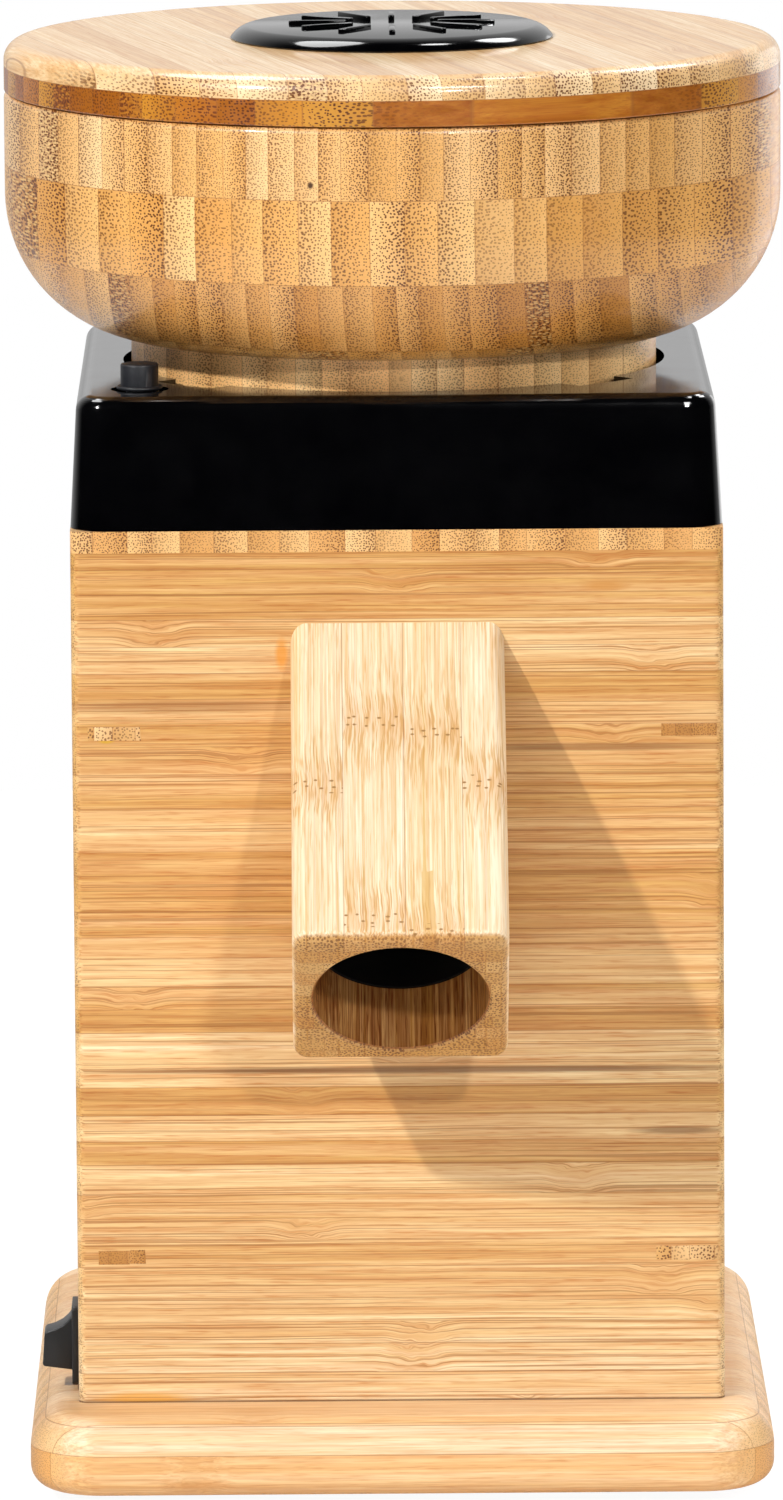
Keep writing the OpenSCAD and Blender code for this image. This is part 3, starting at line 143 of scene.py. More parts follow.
def stain(tree, colour, factor, tone, depth=1.0, blend="MIX"):
    # lays one more tone over a colour, as deep as the factor times depth
    amount = addNode(tree, "Math", {0: factor, 1: depth}, operation="MULTIPLY")
    tone = hexColour(tone) if isinstance(tone, str) else tone
    return addNode(tree, "Mix", {0: amount, 6: colour, 7: tone}, out=2, data_type="RGBA", blend_type=blend)


lampValues = {
    "aim": (0, 0, 0.19),      # m, the point that every lamp faces
    "softLamps": ("topLamp", "lowLamp", "sideLamp"),      # broad sheets of light, too soft to mirror
    # faces overhead, in front and at the side, which only gloss picks up
    "mirrored": ("leftSoftbox", "middleSoftbox", "rightSoftbox", "frontSoftbox", "edgeSoftbox"),
    "lamps": {
        # name: direction it comes from, distance in m, level on a white card, width and height in m
        "keyLamp": ((-1.005, -1.0, 1.045), 2.6, 0.79, (0.11, 0.11)),
        "fillLamp": ((0.321, -1.0, 0.507), 2.4, 0.27, (0.16, 0.16)),
        "topLamp": ((0.15, 0.35, 1.0), 2.2, 0.39, (1.2, 1.2)),
        "lowLamp": ((-0.3, -1.0, -0.04), 2.6, 0.14, (0.9, 0.9)),
        "sideLamp": ((1.0, 0.25, 0.3), 2.4, 0.4, (0.8, 0.8)),
        "leftSoftbox": ((-0.33, 0.25, 0.91), 2.4, 0.55, (1.3, 0.9)),
        "middleSoftbox": ((0.23, 0.13, 0.96), 2.4, 0.1, (0.3, 0.4)),
        "rightSoftbox": ((0.44, 0.45, 0.74), 2.4, 0.3, (0.7, 0.7)),
        "frontSoftbox": ((0.37, -0.93, 1.0), 2.5, 0.35, (0.8, 0.4)),
        "edgeSoftbox": ((0.5, 0.87, 0.0), 2.4, 0.1, (1.2, 1.6)),
    },
}


def addLamps(values):
    aim = Vector(values["aim"])
    for name, (direction, distance, level, size) in values["lamps"].items():
        data = bpy.data.lights.new(name, "AREA")
        data.shape = "ELLIPSE"
        data.size, data.size_y = size
        data.energy = level * pi ** 2 * distance ** 2      # watts that bring a white card to that level
        lamp = bpy.data.objects.new(name, data)
        scene.collection.objects.link(lamp)
        way = Vector(direction).normalized()
        lamp.location = aim + way * distance
        lamp.rotation_euler = way.to_track_quat("Z", "Y").to_euler()
        lamp.visible_camera = False
        lamp.visible_glossy = name not in values["softLamps"]
        lamp.visible_diffuse = name not in values["mirrored"]


addLamps(lampValues)

worldValues = {
    "ambient": 0.235,            # level of the light from all round
    "shine": 0.8,                # the studio's brightness in reflections
    "brightBehind": (0.2, 0.85),     # it grows to that between these parts of the way to the back
    "brightAbove": (0.0, 0.09),      # and between these heights of the way up
    "floorShine": 0.7,           # share that is left below them
}


def addWorld(values):
    # white for the camera and in reflections, a plain level for diffuse light;
    # the studio is dark behind the camera, so gloss black stays black from the front
    world = bpy.data.worlds.new("studio")
    scene.world = world
    world.use_nodes = True
    tree = world.node_tree
    tree.nodes.clear()
    way = addNode(tree, "TexCoord", out="Generated")
    axes = addNode(tree, "SeparateXYZ", {0: way}).node.outputs
    behind = addNode(tree, "MapRange", {"Value": axes[1], **span(values["brightBehind"])},
                     interpolation_type="SMOOTHSTEP")
    raised = addNode(tree, "MapRange", {"Value": axes[2], **span(values["brightAbove"]),
                                        "To Min": values["floorShine"]}, interpolation_type="SMOOTHSTEP")
    seen = addNode(tree, "Math", {0: behind, 1: raised}, operation="MULTIPLY")
    shone = addNode(tree, "Math", {0: seen, 1: values["shine"]}, operation="MULTIPLY")
    path = addNode(tree, "LightPath").node.outputs
    gloss = addNode(tree, "Math", {0: path["Is Glossy Ray"], 1: path["Is Transmission Ray"]},
                    operation="MAXIMUM")
    level = addNode(tree, "Mix", {0: gloss, 2: values["ambient"], 3: shone})
    level = addNode(tree, "Mix", {0: path["Is Camera Ray"], 2: level, 3: 1.0})
    light = addNode(tree, "Background", {"Color": (1, 1, 1, 1), "Strength": level})
    tree.links.new(light, tree.nodes.new("ShaderNodeOutputWorld").inputs["Surface"])


addWorld(worldValues)

floorValues = {
    "radius": 1.05,                      # m
    "paint": ("#efeeec", "#f1f0ee"),     # matt white, near even, keeps the shadow
    "toneAt": (0.3, 0.7),                # where its two whites lie in the noise that mixes them
    "patch": 0.02,                       # and the size of that noise, per mm
    "soften": 0.85,                      # how far the camera's view of the shadow is lifted towards white
    "glow": 1.12,                        # strength of that white
}


def addFloor(values):
    mesh = bmesh.new()
    bmesh.ops.create_circle(mesh, cap_ends=True, segments=96, radius=values["radius"])
    data = bpy.data.meshes.new("floor")
    mesh.to_mesh(data)
    mesh.free()
    floor = bpy.data.objects.new("floor", data)
    scene.collection.objects.link(floor)
    material, tree = newMaterial("paintedFloor")
    point = patternPlace(tree)
    patches = addNode(tree, "TexNoise", {"Vector": point, "Scale": values["patch"], "Detail": 3.0})
    tint = addNode(tree, "ValToRGB", {0: patches}, ramp=[*zip(values["toneAt"], values["paint"])])
    paint = addNode(tree, "BsdfDiffuse", {"Color": tint})
    camera = addNode(tree, "LightPath", out="Is Camera Ray")
    soften = addNode(tree, "Math", {0: camera, 1: values["soften"]}, operation="MULTIPLY")
    glow = addNode(tree, "Emission", {"Color": (1, 1, 1, 1), "Strength": values["glow"]})
    both = addNode(tree, "MixShader", {0: soften, 1: paint, 2: glow})
    tree.links.new(both, tree.nodes.new("ShaderNodeOutputMaterial").inputs["Surface"])
    data.materials.append(material)


addFloor(floorValues)
print("lights, world and floor set")

culmValues = {
    # what all the bamboo has, unless a board's own values further down say otherwise
    "boards": [], "tone": [0.0], "pitch": [0.6], "tints": ["#ffffff"], "marks": [], "drift": ((0, 1), (0, 0)),
    "uneven": 5.0, "nodeLength": 260, "wander": 1.6, "swirl": 2.4, "grain": 0.66, "streakTint": "#cf8f40",
    "dots": 0.7, "dotSize": (0.24, 0.4), "endFrom": (0.35, 0.75), "rare": 1.0, "coat": 0.0,
    # noise: its grain along, across and up through the fibres per mm, its detail and its roughness
    "noise": {"wander": ((0.022, 0.16, 0.16), 2.0, 0.5), "swirl": ((0.2, 0.5, 0.5), 1.0, 0.5),
              "fine": ((0.03, 1.4, 1.4), 3.0, 0.6), "dash": ((0.13, 2.6, 2.6), 1.0, 0.6),
              "broad": ((0.006, 0.42, 0.42), 1.0, 0.6), "line": ((0.001, 0.75, 0.0), 0.0, 0.6),
              "hair": ((0.008, 2.7, 2.7), 0.0, 0.6)},
    "courseStep": 3.7,           # added to the seed from one board to the next
    "strayScale": 0.07,          # how often a strip's edge strays, per mm
    "swirlFrom": (11, 1),        # distance from a node where the swirl starts and where it is full
    "flameFrom": (21, 7),        # the same for the dashes beside a node
    "dotRow": 2.4,               # half the width of the row of dots along a node
    "dotRowGrid": (0.5, 0.3, 0.0),       # those dots per mm along and across
    "crumbGrid": (0.42, 0.95, 1.0),      # crumbs of the culm's outer layer to each bundle end
    "glueFrom": (0.16, 0.04),    # distance from a strip's edge where the glue starts and where it is full
    "boardGlue": 0.1,            # half the thickness of the glue between two boards
    "slatEdge": 0.012,           # how near the middle of its noise a slat's edge lies
    "dotEdge": 0.1,              # softness of a bundle end, as a part of the spacing
    "rareDots": 0.1,             # how much larger they are on a dark strip
    "endFade": 0.12,             # what is left of the streaks and bands on end grain
    # where each mark starts in its noise, or from its centre, and where it is full
    "streakAt": (0.66, 0.36), "dashAt": (0.56, 0.7), "flameAt": (0.5, 0.6), "hairAt": (0.6, 0.72),
    "dotRowAt": (0.2, 0.1), "crumbAt": (0.36, 0.2), "markAt": (1.1, 0.5), "roughAt": (0.3, 0.7),
    # strength of the streaks, of the dashes among them and of the broad bands
    "streakDepth": 0.8, "dashDepth": 0.5, "band": 0.9,
    # colour of each stain, with its depth where all the bamboo shares that
    "nodeStain": ("#c98b4a", 0.22), "glueStain": ("#945822", 0.55), "footStain": ("#5a3312", 0.8),
    "rareStain": ("#a98450", 0.5), "crumbStain": ("#e8c389", 0.75), "sideStain": ("#b0792f", 0.42),
    "flameStain": ("#c9964c", 0.7), "dotRowStain": ("#8f6a34", 1.0), "slatStain": "#d3ab62",
    "hairStain": "#9c6226", "dotStain": "#6a380a", "boreShadeTone": "#9a6c3e",
    "boreShadeDashes": 1.3,           # how much stronger the streaks are inside the bore
    # surface: depth of the relief, heights of the fibres, bundle ends and glue in it, how strongly it shows,
    # and the lacquer from its smooth to its dull places
    "relief": 0.1, "heights": {"fine": 0.6, "dot": -0.5, "glue": -0.6}, "bump": 0.35,
    "rough": (0.36, 0.5), "coatRough": 0.12, "ior": 1.5,
}

bambooValues = {
    # glued strips, with the fibres along the pattern's x, the strips across its y and the boards along its z
    # turn: degrees that bring the fibres along x; crossTurn: the same for a lower board laid across the upper
    # boards: levels where the next board starts; then one value for each board, lowest first, of strip (the
    # strips' width), spread (of their tones), tone (added), tints and pitch (spacing of the bundle ends)
    # tones: darkest to palest; drift: two places across the fibres, and the tone added at each
    # uneven: how far a strip's edge strays; nodeLength: from one culm node to the next on a strip
    # wander and swirl: how far the fibres wander, and turn at a node
    # grain, hair, dots, lines: strength of the streaks, thin dark vessels, bundle ends and slat edges
    # dotSize: radius of a bundle end at a strip's open and crowded side, as a part of the spacing
    # endFrom: how far a face turns along the fibres before it shows end grain; endTint: its tint and depth
    # rare: share of the strips that are not dark with bundles; coat: weight of the lacquer's gloss
    # footLine: where a dark line along the foot starts and is full; bore: its level, radius and the tint of
    # the painted shade inside it
    # marks: place, half size, colour and strength of knots, dark strips and glue stains
    "frontBoards": {
        "turn": (-90, 0, 0), "strip": [6.8], "spread": [0.5], "seed": 1.0, "hair": 1.0, "wander": 0.9,
        "tones": ["#be8c4a", "#d2a35d", "#dfb67a", "#eacb95", "#f3deb4"],
        "drift": ((48, 28), (-0.04, 0.6)), "footLine": (24.05, 23.7),
        "marks": [((10.0, -82.5, 110.9), (95.0, 3.0, 1.1), "#6e4117", 0.75),
                  ((-58.0, -82.5, 206.3), (36.0, 3.0, 2.0), "#9a6128", 0.55),
                  ((52.0, -82.5, 195.2), (38.0, 3.0, 1.2), "#7c4a1a", 0.6),
                  ((72.0, -82.5, 94.5), (13.0, 3.0, 1.2), "#7c4a1a", 0.7),
                  ((-29.8, -82.5, 220.0), (1.9, 3.0, 4.5), "#d98a1c", 0.75),
                  ((53.5, -82.5, 237.0), (6.5, 3.0, 1.3), "#c28338", 0.7),
                  ((-67.0, -82.5, 24.6), (13.5, 3.0, 1.8), "#dfa136", 0.7),
                  ((-75.2, -82.5, 197.5), (2.2, 3.0, 0.7), "#c79a18", 0.8)]},
    "sideBoards": {
        "turn": (-90, -90, 0), "strip": [6.8], "spread": [0.5], "seed": 5.0, "hair": 1.0, "wander": 0.9,
        "tones": ["#be8c4a", "#d2a35d", "#dfb67a", "#eacb95", "#f3deb4"]},
    "deckBoard": {
        "turn": (0, 0, -90), "strip": [8.1], "spread": [0.6], "seed": 9.0, "dots": 1.1,
        "tone": [0.06], "pitch": [0.66], "tones": ["#bf8343", "#d59d59", "#e1ae6c", "#eabe80", "#f1cc93"]},
    "baseBoard": {
        "turn": (0, 0, 0), "boards": [14.4, 21.3], "strip": [11.0, 11.0, 11.0], "seed": 14.0,
        # the lower board's darker tone is partly its own and partly painted shade below the lit top rounding
        "spread": [0.3, 0.3, 0.3], "tone": [0.0, 0.3, 0.3], "pitch": [0.6, 0.6, 0.6],
        "dots": 0.6, "hair": 0.25, "grain": 0.52, "endTint": ("#f5e4c4", 0.75),
        "tints": ["#f7ede2", "#f8f2ee", "#f7f1ec"],
        "tones": ["#dca45c", "#ecbd7c", "#f5ce92", "#fadcab", "#fde8c4"]},
    "spoutBlock": {
        "turn": (-45, 0, -90), "boards": [169.5 + 4.9 * i for i in range(10)], "seed": 23.0,
        "strip": [17.0, 21.0, 18.0, 23.0, 19.0, 16.0, 22.0, 18.0, 20.0, 21.0, 15.5],
        "tone": [0.0, -0.2, 0.1, -0.25, 0.05, -0.15, 0.1, -0.2, 0.05, -0.25, 0.1],
        "spread": [0.4], "pitch": [0.9], "uneven": 2.0, "nodeLength": 62, "wander": 0.35, "swirl": 0.9,
        "dots": 0.9, "dotSize": (0.3, 0.42), "lines": 0.75, "hair": 0.35, "streakTint": "#dcae5c",
        "endTint": ("#cba456", 0.85), "bore": (192.0, 22.75, "#dcb887"),
        "tones": ["#ebcd9c", "#f2dab2", "#f6e3c4", "#f8ead2", "#fbefdc"]},
    "bowlCourses": {
        "turn": (0, 0, -85.5), "boards": [298.1, 316.9, 339.0], "strip": [6.6, 6.4, 9.0, 6.4],
        # the courses grow paler upwards: partly their own tones, partly painted shade on the lower courses,
        # which face down
        "spread": [0.45, 0.5, 0.85, 0.45], "tone": [0.0, 0.06, 0.08, 0.2], "pitch": [0.7, 0.72, 0.88, 0.7],
        "tints": ["#ebe2c6", "#ecdebf", "#fbf2d6", "#fdfbf2"], "seed": 34.0, "uneven": 2.5,
        # drift: painted light, paler on the bowl's left side, where the key light falls
        "drift": ((75, 15), (0.18, -0.06)), "endFrom": (0.1, 0.3), "rare": 0.91, "dots": 1.2, "coat": 0.3,
        "marks": [((-21.5, -99.5, 343.0), (0.9, 4.0, 1.0), "#3a1c08", 0.95)],
        "tones": ["#b8803f", "#d0974f", "#e2ae6a", "#edc086", "#f6d3a2"]},
    # the neck's tones are paler than the bowl's: painted light, standing in for the light that reaches it
    # under the bowl
    "neckRingPaintedLight": {
        "turn": (0, 0, -85.5), "strip": [7.4], "spread": [0.4], "seed": 37.0, "pitch": [0.66],
        "endFrom": (0.1, 0.3), "dots": 0.85, "coat": 0.1,
        "tones": ["#f4b46e", "#ffc782", "#ffd190", "#ffda9e", "#ffe3ae"]},
    "lidBoards": {
        "turn": (0, 0, 75.5), "crossTurn": (0, 0, -24), "boards": [364.6], "strip": [8.8, 9.8],
        "spread": [1.5, 0.5], "tone": [0.0, 0.05], "pitch": [0.85, 0.8], "tints": ["#cfa13c", "#fffef8"],
        "seed": 43.0, "streakTint": "#dcab38", "endFrom": (0.2, 0.6), "rare": 0.84, "dots": 1.1, "hair": 0.3,
        "coat": 0.5, "tones": ["#c08f34", "#dcae70", "#edc896", "#f5d9b0", "#f9e4c6"]},
    "plugGrain": {
        "turn": (0, 0, -90), "strip": [5.3], "spread": [0.5], "seed": 51.0, "dots": 1.0, "pitch": [0.85],
        "tones": ["#c58c48", "#d2a15e", "#deb277", "#e8c28b", "#f0d0a0"]},
    "darkPlugGrain": {
        "turn": (0, 0, -90), "strip": [4.6], "spread": [0.4], "seed": 57.0, "dots": 0.9, "pitch": [0.62],
        "tones": ["#9c6429", "#aa7232", "#b9803c", "#c68d48", "#d09a56"]},
}


def layBoards(tree, values):
    # a stack of boards, each with its own strips, tones and bundle spacing, and glue between them
    wood = {"point": patternPlace(tree, values["turn"]),
            "facing": patternPlace(tree, values["turn"], "Normal", 1)}
    level = addNode(tree, "SeparateXYZ", {0: wood["point"]}, out="Z")
    courses = [values["seed"] + values["courseStep"] * i for i in range(len(values["boards"]) + 1)]
    steps = {"course": courses, **{key: values[key] for key in ("strip", "spread", "tone", "pitch")}}
    for key, numbers in steps.items():
        wood[key] = addNode(tree, "Value")
        wood[key].default_value = numbers[0]
    tints = values["tints"]
    wood.update(level=level, tint=hexColour(tints[0]), glue=0.0)
    for number, start in enumerate(values["boards"]):
        above = addNode(tree, "Math", {0: level, 1: start}, operation="GREATER_THAN")
        for key, numbers in steps.items():
            if len(numbers) > 1:
                more = numbers[number + 1] - numbers[number]
                wood[key] = addNode(tree, "Math", {0: above, 1: more, 2: wood[key]}, operation="MULTIPLY_ADD")
        if len(tints) > 1:
            wood["tint"] = stain(tree, wood["tint"], above, tints[number + 1])
        near = addNode(tree, "Math", {0: level, 1: start, 2: values["boardGlue"]}, operation="COMPARE")
        wood["glue"] = addNode(tree, "Math", {0: wood["glue"], 1: near}, operation="MAXIMUM")
        if "crossTurn" in values:
            # the lower board lies across the upper one
            for key, source, scale in (("point", "Object", 1000), ("facing", "Normal", 1)):
                crossed = patternPlace(tree, values["crossTurn"], source, scale)
                wood[key] = addNode(tree, "Mix", {0: above, 4: crossed, 5: wood[key]}, out=1,
                                    data_type="VECTOR")
    return wood


def cutStrips(tree, values, wood):
    # strips of slightly uneven width, each with three chances of its own from 0 to 1
    axes = addNode(tree, "SeparateXYZ", {0: wood["point"]}).node.outputs
    wood["along"], across = axes[0], axes[1]
    lane = addNode(tree, "CombineXYZ", {0: across, 1: wood["course"]})
    uneven = addNode(tree, "TexNoise", {"Vector": lane, "Scale": values["strayScale"], "Detail": 0.0},
                     noise_dimensions="2D")
    cut = addNode(tree, "Math", {0: uneven, 1: values["uneven"], 2: across}, operation="MULTIPLY_ADD")
    cut = addNode(tree, "Math", {0: cut, 1: wood["strip"]}, operation="DIVIDE")
    strip = addNode(tree, "Math", {0: cut}, operation="FLOOR")
    inStrip = addNode(tree, "Math", {0: cut}, operation="FRACT")
    key = addNode(tree, "CombineXYZ", {0: strip, 1: wood["course"], 2: 0.5})
    chance = addNode(tree, "TexWhiteNoise", {"Vector": key}, out="Color", noise_dimensions="3D")
    wood["chances"] = addNode(tree, "SeparateColor", {0: chance}).node.outputs
    # glue between the strips joins the glue between the boards
    centre = addNode(tree, "Math", {0: inStrip, 1: 0.5}, operation="SUBTRACT")
    centre = addNode(tree, "Math", {0: centre}, operation="ABSOLUTE")
    toEdge = addNode(tree, "Math", {0: 0.5, 1: centre}, operation="SUBTRACT")
    toEdge = addNode(tree, "Math", {0: toEdge, 1: wood["strip"]}, operation="MULTIPLY")
    seam = addNode(tree, "MapRange", {"Value": toEdge, **span(values["glueFrom"])})
    wood["glue"] = addNode(tree, "Math", {0: wood["glue"], 1: seam}, operation="MAXIMUM")
    wood.update(across=across, inStrip=inStrip)


def drawnNoise(tree, place, values, layer):
    # noise that is drawn out along the fibres
    grain, detail, rough = values["noise"][layer]
    drawn = addNode(tree, "VectorMath", {0: place, 1: grain}, operation="MULTIPLY")
    return addNode(tree, "TexNoise", {"Vector": drawn, "Scale": 1.0, "Detail": detail, "Roughness": rough})


def growFibres(tree, values, wood):
    # the fibres wander a little, and swirl at the culm nodes, which lie in short zones on each strip;
    # nodeAt is the distance from the nearest node, as a part of the way from one to the next
    length = values["nodeLength"]
    nodeAt = addNode(tree, "Math", {0: wood["along"], 1: 1 / length, 2: wood["chances"][0]},
                     operation="MULTIPLY_ADD")
    nodeAt = addNode(tree, "Math", {0: nodeAt, 1: 1.0}, operation="FLOORED_MODULO")
    nodeAt = addNode(tree, "Math", {0: nodeAt, 1: 0.5}, operation="SUBTRACT")
    nodeAt = addNode(tree, "Math", {0: nodeAt}, operation="ABSOLUTE")
    nodeZone = addNode(tree, "MapRange", {"Value": nodeAt, **span(values["swirlFrom"], length)},
                       interpolation_type="SMOOTHSTEP")
    wander = drawnNoise(tree, wood["point"], values, "wander")
    swirl = drawnNoise(tree, wood["point"], values, "swirl")
    swirl = addNode(tree, "Math", {0: swirl, 1: nodeZone}, operation="MULTIPLY")
    bent = addNode(tree, "Math", {0: wander, 1: values["wander"], 2: wood["across"]},
                   operation="MULTIPLY_ADD")
    bent = addNode(tree, "Math", {0: swirl, 1: values["swirl"], 2: bent}, operation="MULTIPLY_ADD")
    fibre = addNode(tree, "CombineXYZ", {0: wood["along"], 1: bent, 2: wood["level"]})
    for layer in ("fine", "dash", "broad"):
        wood[layer] = drawnNoise(tree, fibre, values, layer)
    wood.update(nodeAt=nodeAt, nodeZone=nodeZone, bent=bent, fibre=fibre)


def growBundles(tree, values, wood):
    # end grain shows where the surface faces along the fibres
    facing = addNode(tree, "SeparateXYZ", {0: wood["facing"]})
    facing = addNode(tree, "Math", {0: facing}, operation="ABSOLUTE")
    wood["endGrain"] = addNode(tree, "MapRange", {"Value": facing, **span(values["endFrom"])},
                               interpolation_type="SMOOTHSTEP")
    # now and then a strip is dark, and thick with bundles
    rare = addNode(tree, "Math", {0: wood["chances"][0], 1: values["rare"]}, operation="GREATER_THAN")
    # bundle ends, denser towards one side of each strip
    bundles = addNode(tree, "CombineXYZ", {0: wood["bent"], 1: wood["level"]})
    bundles = addNode(tree, "VectorMath", {0: bundles, 1: wood["pitch"]}, operation="DIVIDE")
    cells = addNode(tree, "TexVoronoi", {"Vector": bundles, "Scale": 1.0, "Randomness": 0.8},
                    voronoi_dimensions="2D")
    flip = addNode(tree, "Math", {0: wood["chances"][1], 1: 0.5}, operation="GREATER_THAN")
    side = addNode(tree, "Math", {0: wood["inStrip"], 1: flip}, operation="SUBTRACT")
    side = addNode(tree, "Math", {0: side}, operation="ABSOLUTE")
    small, large = values["dotSize"]
    size = addNode(tree, "MapRange", {"Value": side, "To Min": small, "To Max": large})
    size = addNode(tree, "Math", {0: rare, 1: values["rareDots"], 2: size}, operation="MULTIPLY_ADD")
    core = addNode(tree, "Math", {0: size, 1: values["dotEdge"]}, operation="SUBTRACT")
    dot = addNode(tree, "MapRange", {"Value": cells, "From Min": size, "From Max": core})
    # they are strong on some strips and faint on others
    density = addNode(tree, "Math", {0: wood["chances"][1], 1: 0.5, 2: 0.5}, operation="MULTIPLY_ADD")
    density = addNode(tree, "Math", {0: density, 1: rare}, operation="MAXIMUM")
    dot = addNode(tree, "Math", {0: dot, 1: density}, operation="MULTIPLY")
    wood["dot"] = addNode(tree, "Math", {0: dot, 1: wood["endGrain"]}, operation="MULTIPLY")
    wood["rareEnd"] = addNode(tree, "Math", {0: rare, 1: wood["endGrain"]}, operation="MULTIPLY")
    wood.update(bundles=bundles, side=side)


def toneStrips(tree, values, wood):
    # each strip's own tone, broad bands that fade on end grain, and fine streaks with short dashes
    band = addNode(tree, "MapRange", {"Value": wood["endGrain"], "To Min": values["band"],
                                      "To Max": values["endFade"]})
    places, (first, last) = values["drift"]
    drift = addNode(tree, "MapRange", {"Value": wood["across"], **span(places), "To Min": first,
                                       "To Max": last})
    pick = addNode(tree, "Math", {0: wood["broad"], 1: 0.5}, operation="SUBTRACT")
    pick = addNode(tree, "Math", {0: pick, 1: band, 2: drift}, operation="MULTIPLY_ADD")
    own = addNode(tree, "Math", {0: wood["chances"][2], 1: 0.5}, operation="SUBTRACT")
    own = addNode(tree, "Math", {0: own, 1: wood["spread"], 2: 0.5}, operation="MULTIPLY_ADD")
    own = addNode(tree, "Math", {0: own, 1: wood["tone"]}, operation="ADD")
    pick = addNode(tree, "Math", {0: pick, 1: own}, operation="ADD")
    tones = values["tones"]
    steps = [(number / (len(tones) - 1), tone) for number, tone in enumerate(tones)]
    colour = addNode(tree, "ValToRGB", {0: pick}, ramp=steps)
    streak = addNode(tree, "MapRange", {"Value": wood["fine"], **span(values["streakAt"])})
    dash = addNode(tree, "MapRange", {"Value": wood["dash"], **span(values["dashAt"]),
                                      "To Max": values["dashDepth"]})
    streak = addNode(tree, "Math", {0: streak, 1: dash}, operation="ADD")
    longGrain = addNode(tree, "MapRange", {"Value": wood["endGrain"], "To Min": values["grain"],
                                           "To Max": values["endFade"]})
    streak = addNode(tree, "Math", {0: streak, 1: longGrain}, operation="MULTIPLY")
    wood.update(longGrain=longGrain, streak=streak)
    return stain(tree, colour, streak, values["streakTint"], values["streakDepth"], "MULTIPLY")


def stainSlats(tree, values, wood, colour):
    # the edges of thin slats, seen as straight amber lines on some strips
    line = drawnNoise(tree, wood["fibre"], values, "line")
    edge = addNode(tree, "Math", {0: line, 1: 0.5, 2: values["slatEdge"]}, operation="COMPARE")
    slats = addNode(tree, "Math", {0: wood["chances"][1], 1: 0.5}, operation="GREATER_THAN")
    edge = addNode(tree, "Math", {0: edge, 1: slats}, operation="MULTIPLY")
    colour = stain(tree, colour, edge, values["slatStain"], values["lines"])
    # short dashes like flames where a node was planed away
    length = values["nodeLength"]
    planed = addNode(tree, "MapRange", {"Value": wood["nodeAt"], **span(values["flameFrom"], length)})
    flame = addNode(tree, "MapRange", {"Value": wood["dash"], **span(values["flameAt"])})
    flame = addNode(tree, "Math", {0: flame, 1: planed}, operation="MULTIPLY")
    colour = stain(tree, colour, flame, *values["flameStain"])
    # a row of small dark dots along each node
    cells = addNode(tree, "VectorMath", {0: wood["fibre"], 1: values["dotRowGrid"]}, operation="MULTIPLY")
    cells = addNode(tree, "TexVoronoi", {"Vector": cells, "Scale": 1.0, "Randomness": 0.7},
                    voronoi_dimensions="2D")
    row = addNode(tree, "MapRange", {"Value": cells, **span(values["dotRowAt"])})
    atNode = addNode(tree, "Math", {0: wood["nodeAt"], 1: values["dotRow"] / length}, operation="LESS_THAN")
    row = addNode(tree, "Math", {0: row, 1: atNode}, operation="MULTIPLY")
    return stain(tree, colour, row, *values["dotRowStain"])


def stainEndGrain(tree, values, wood, colour):
    # end grain is darker towards the crowded side of each strip, where the bundle ends are large
    endGrain = wood["endGrain"]
    if "endTint" in values:
        colour = stain(tree, colour, endGrain, *values["endTint"], "MULTIPLY")
    colour = stain(tree, colour, wood["rareEnd"], *values["rareStain"], "MULTIPLY")
    shade = addNode(tree, "Math", {0: wood["side"], 1: endGrain}, operation="MULTIPLY")
    colour = stain(tree, colour, shade, *values["sideStain"])
    colour = stain(tree, colour, wood["dot"], values["dotStain"], values["dots"])
    # the culm's outer layer: a pale broken network on brown
    crumbs = addNode(tree, "VectorMath", {0: wood["bundles"], 1: values["crumbGrid"]}, operation="MULTIPLY")
    crumbs = addNode(tree, "TexVoronoi", {"Vector": crumbs, "Scale": 1.0, "Randomness": 1.0},
                     voronoi_dimensions="2D")
    crumbs = addNode(tree, "MapRange", {"Value": crumbs, **span(values["crumbAt"])})
    crumbs = addNode(tree, "Math", {0: crumbs, 1: wood["rareEnd"]}, operation="MULTIPLY")
    return stain(tree, colour, crumbs, *values["crumbStain"])


def shadeBore(tree, values, wood, colour):
    # bare wood inside the bore, darker and more streaked there: painted shade
    middle, radius, tone = values["bore"]
    rise = addNode(tree, "Math", {0: wood["level"], 1: middle}, operation="SUBTRACT")
    away = addNode(tree, "CombineXYZ", {0: wood["across"], 1: rise})
    away = addNode(tree, "VectorMath", {0: away}, out="Value", operation="LENGTH")
    inside = addNode(tree, "Math", {0: away, 1: radius}, operation="LESS_THAN")
    colour = stain(tree, colour, inside, tone, blend="MULTIPLY")
    dashes = addNode(tree, "Math", {0: wood["streak"], 1: values["boreShadeDashes"]}, operation="MULTIPLY",
                     use_clamp=True)
    dashes = addNode(tree, "Math", {0: inside, 1: dashes}, operation="MULTIPLY")
    return stain(tree, colour, dashes, values["boreShadeTone"], blend="MULTIPLY")


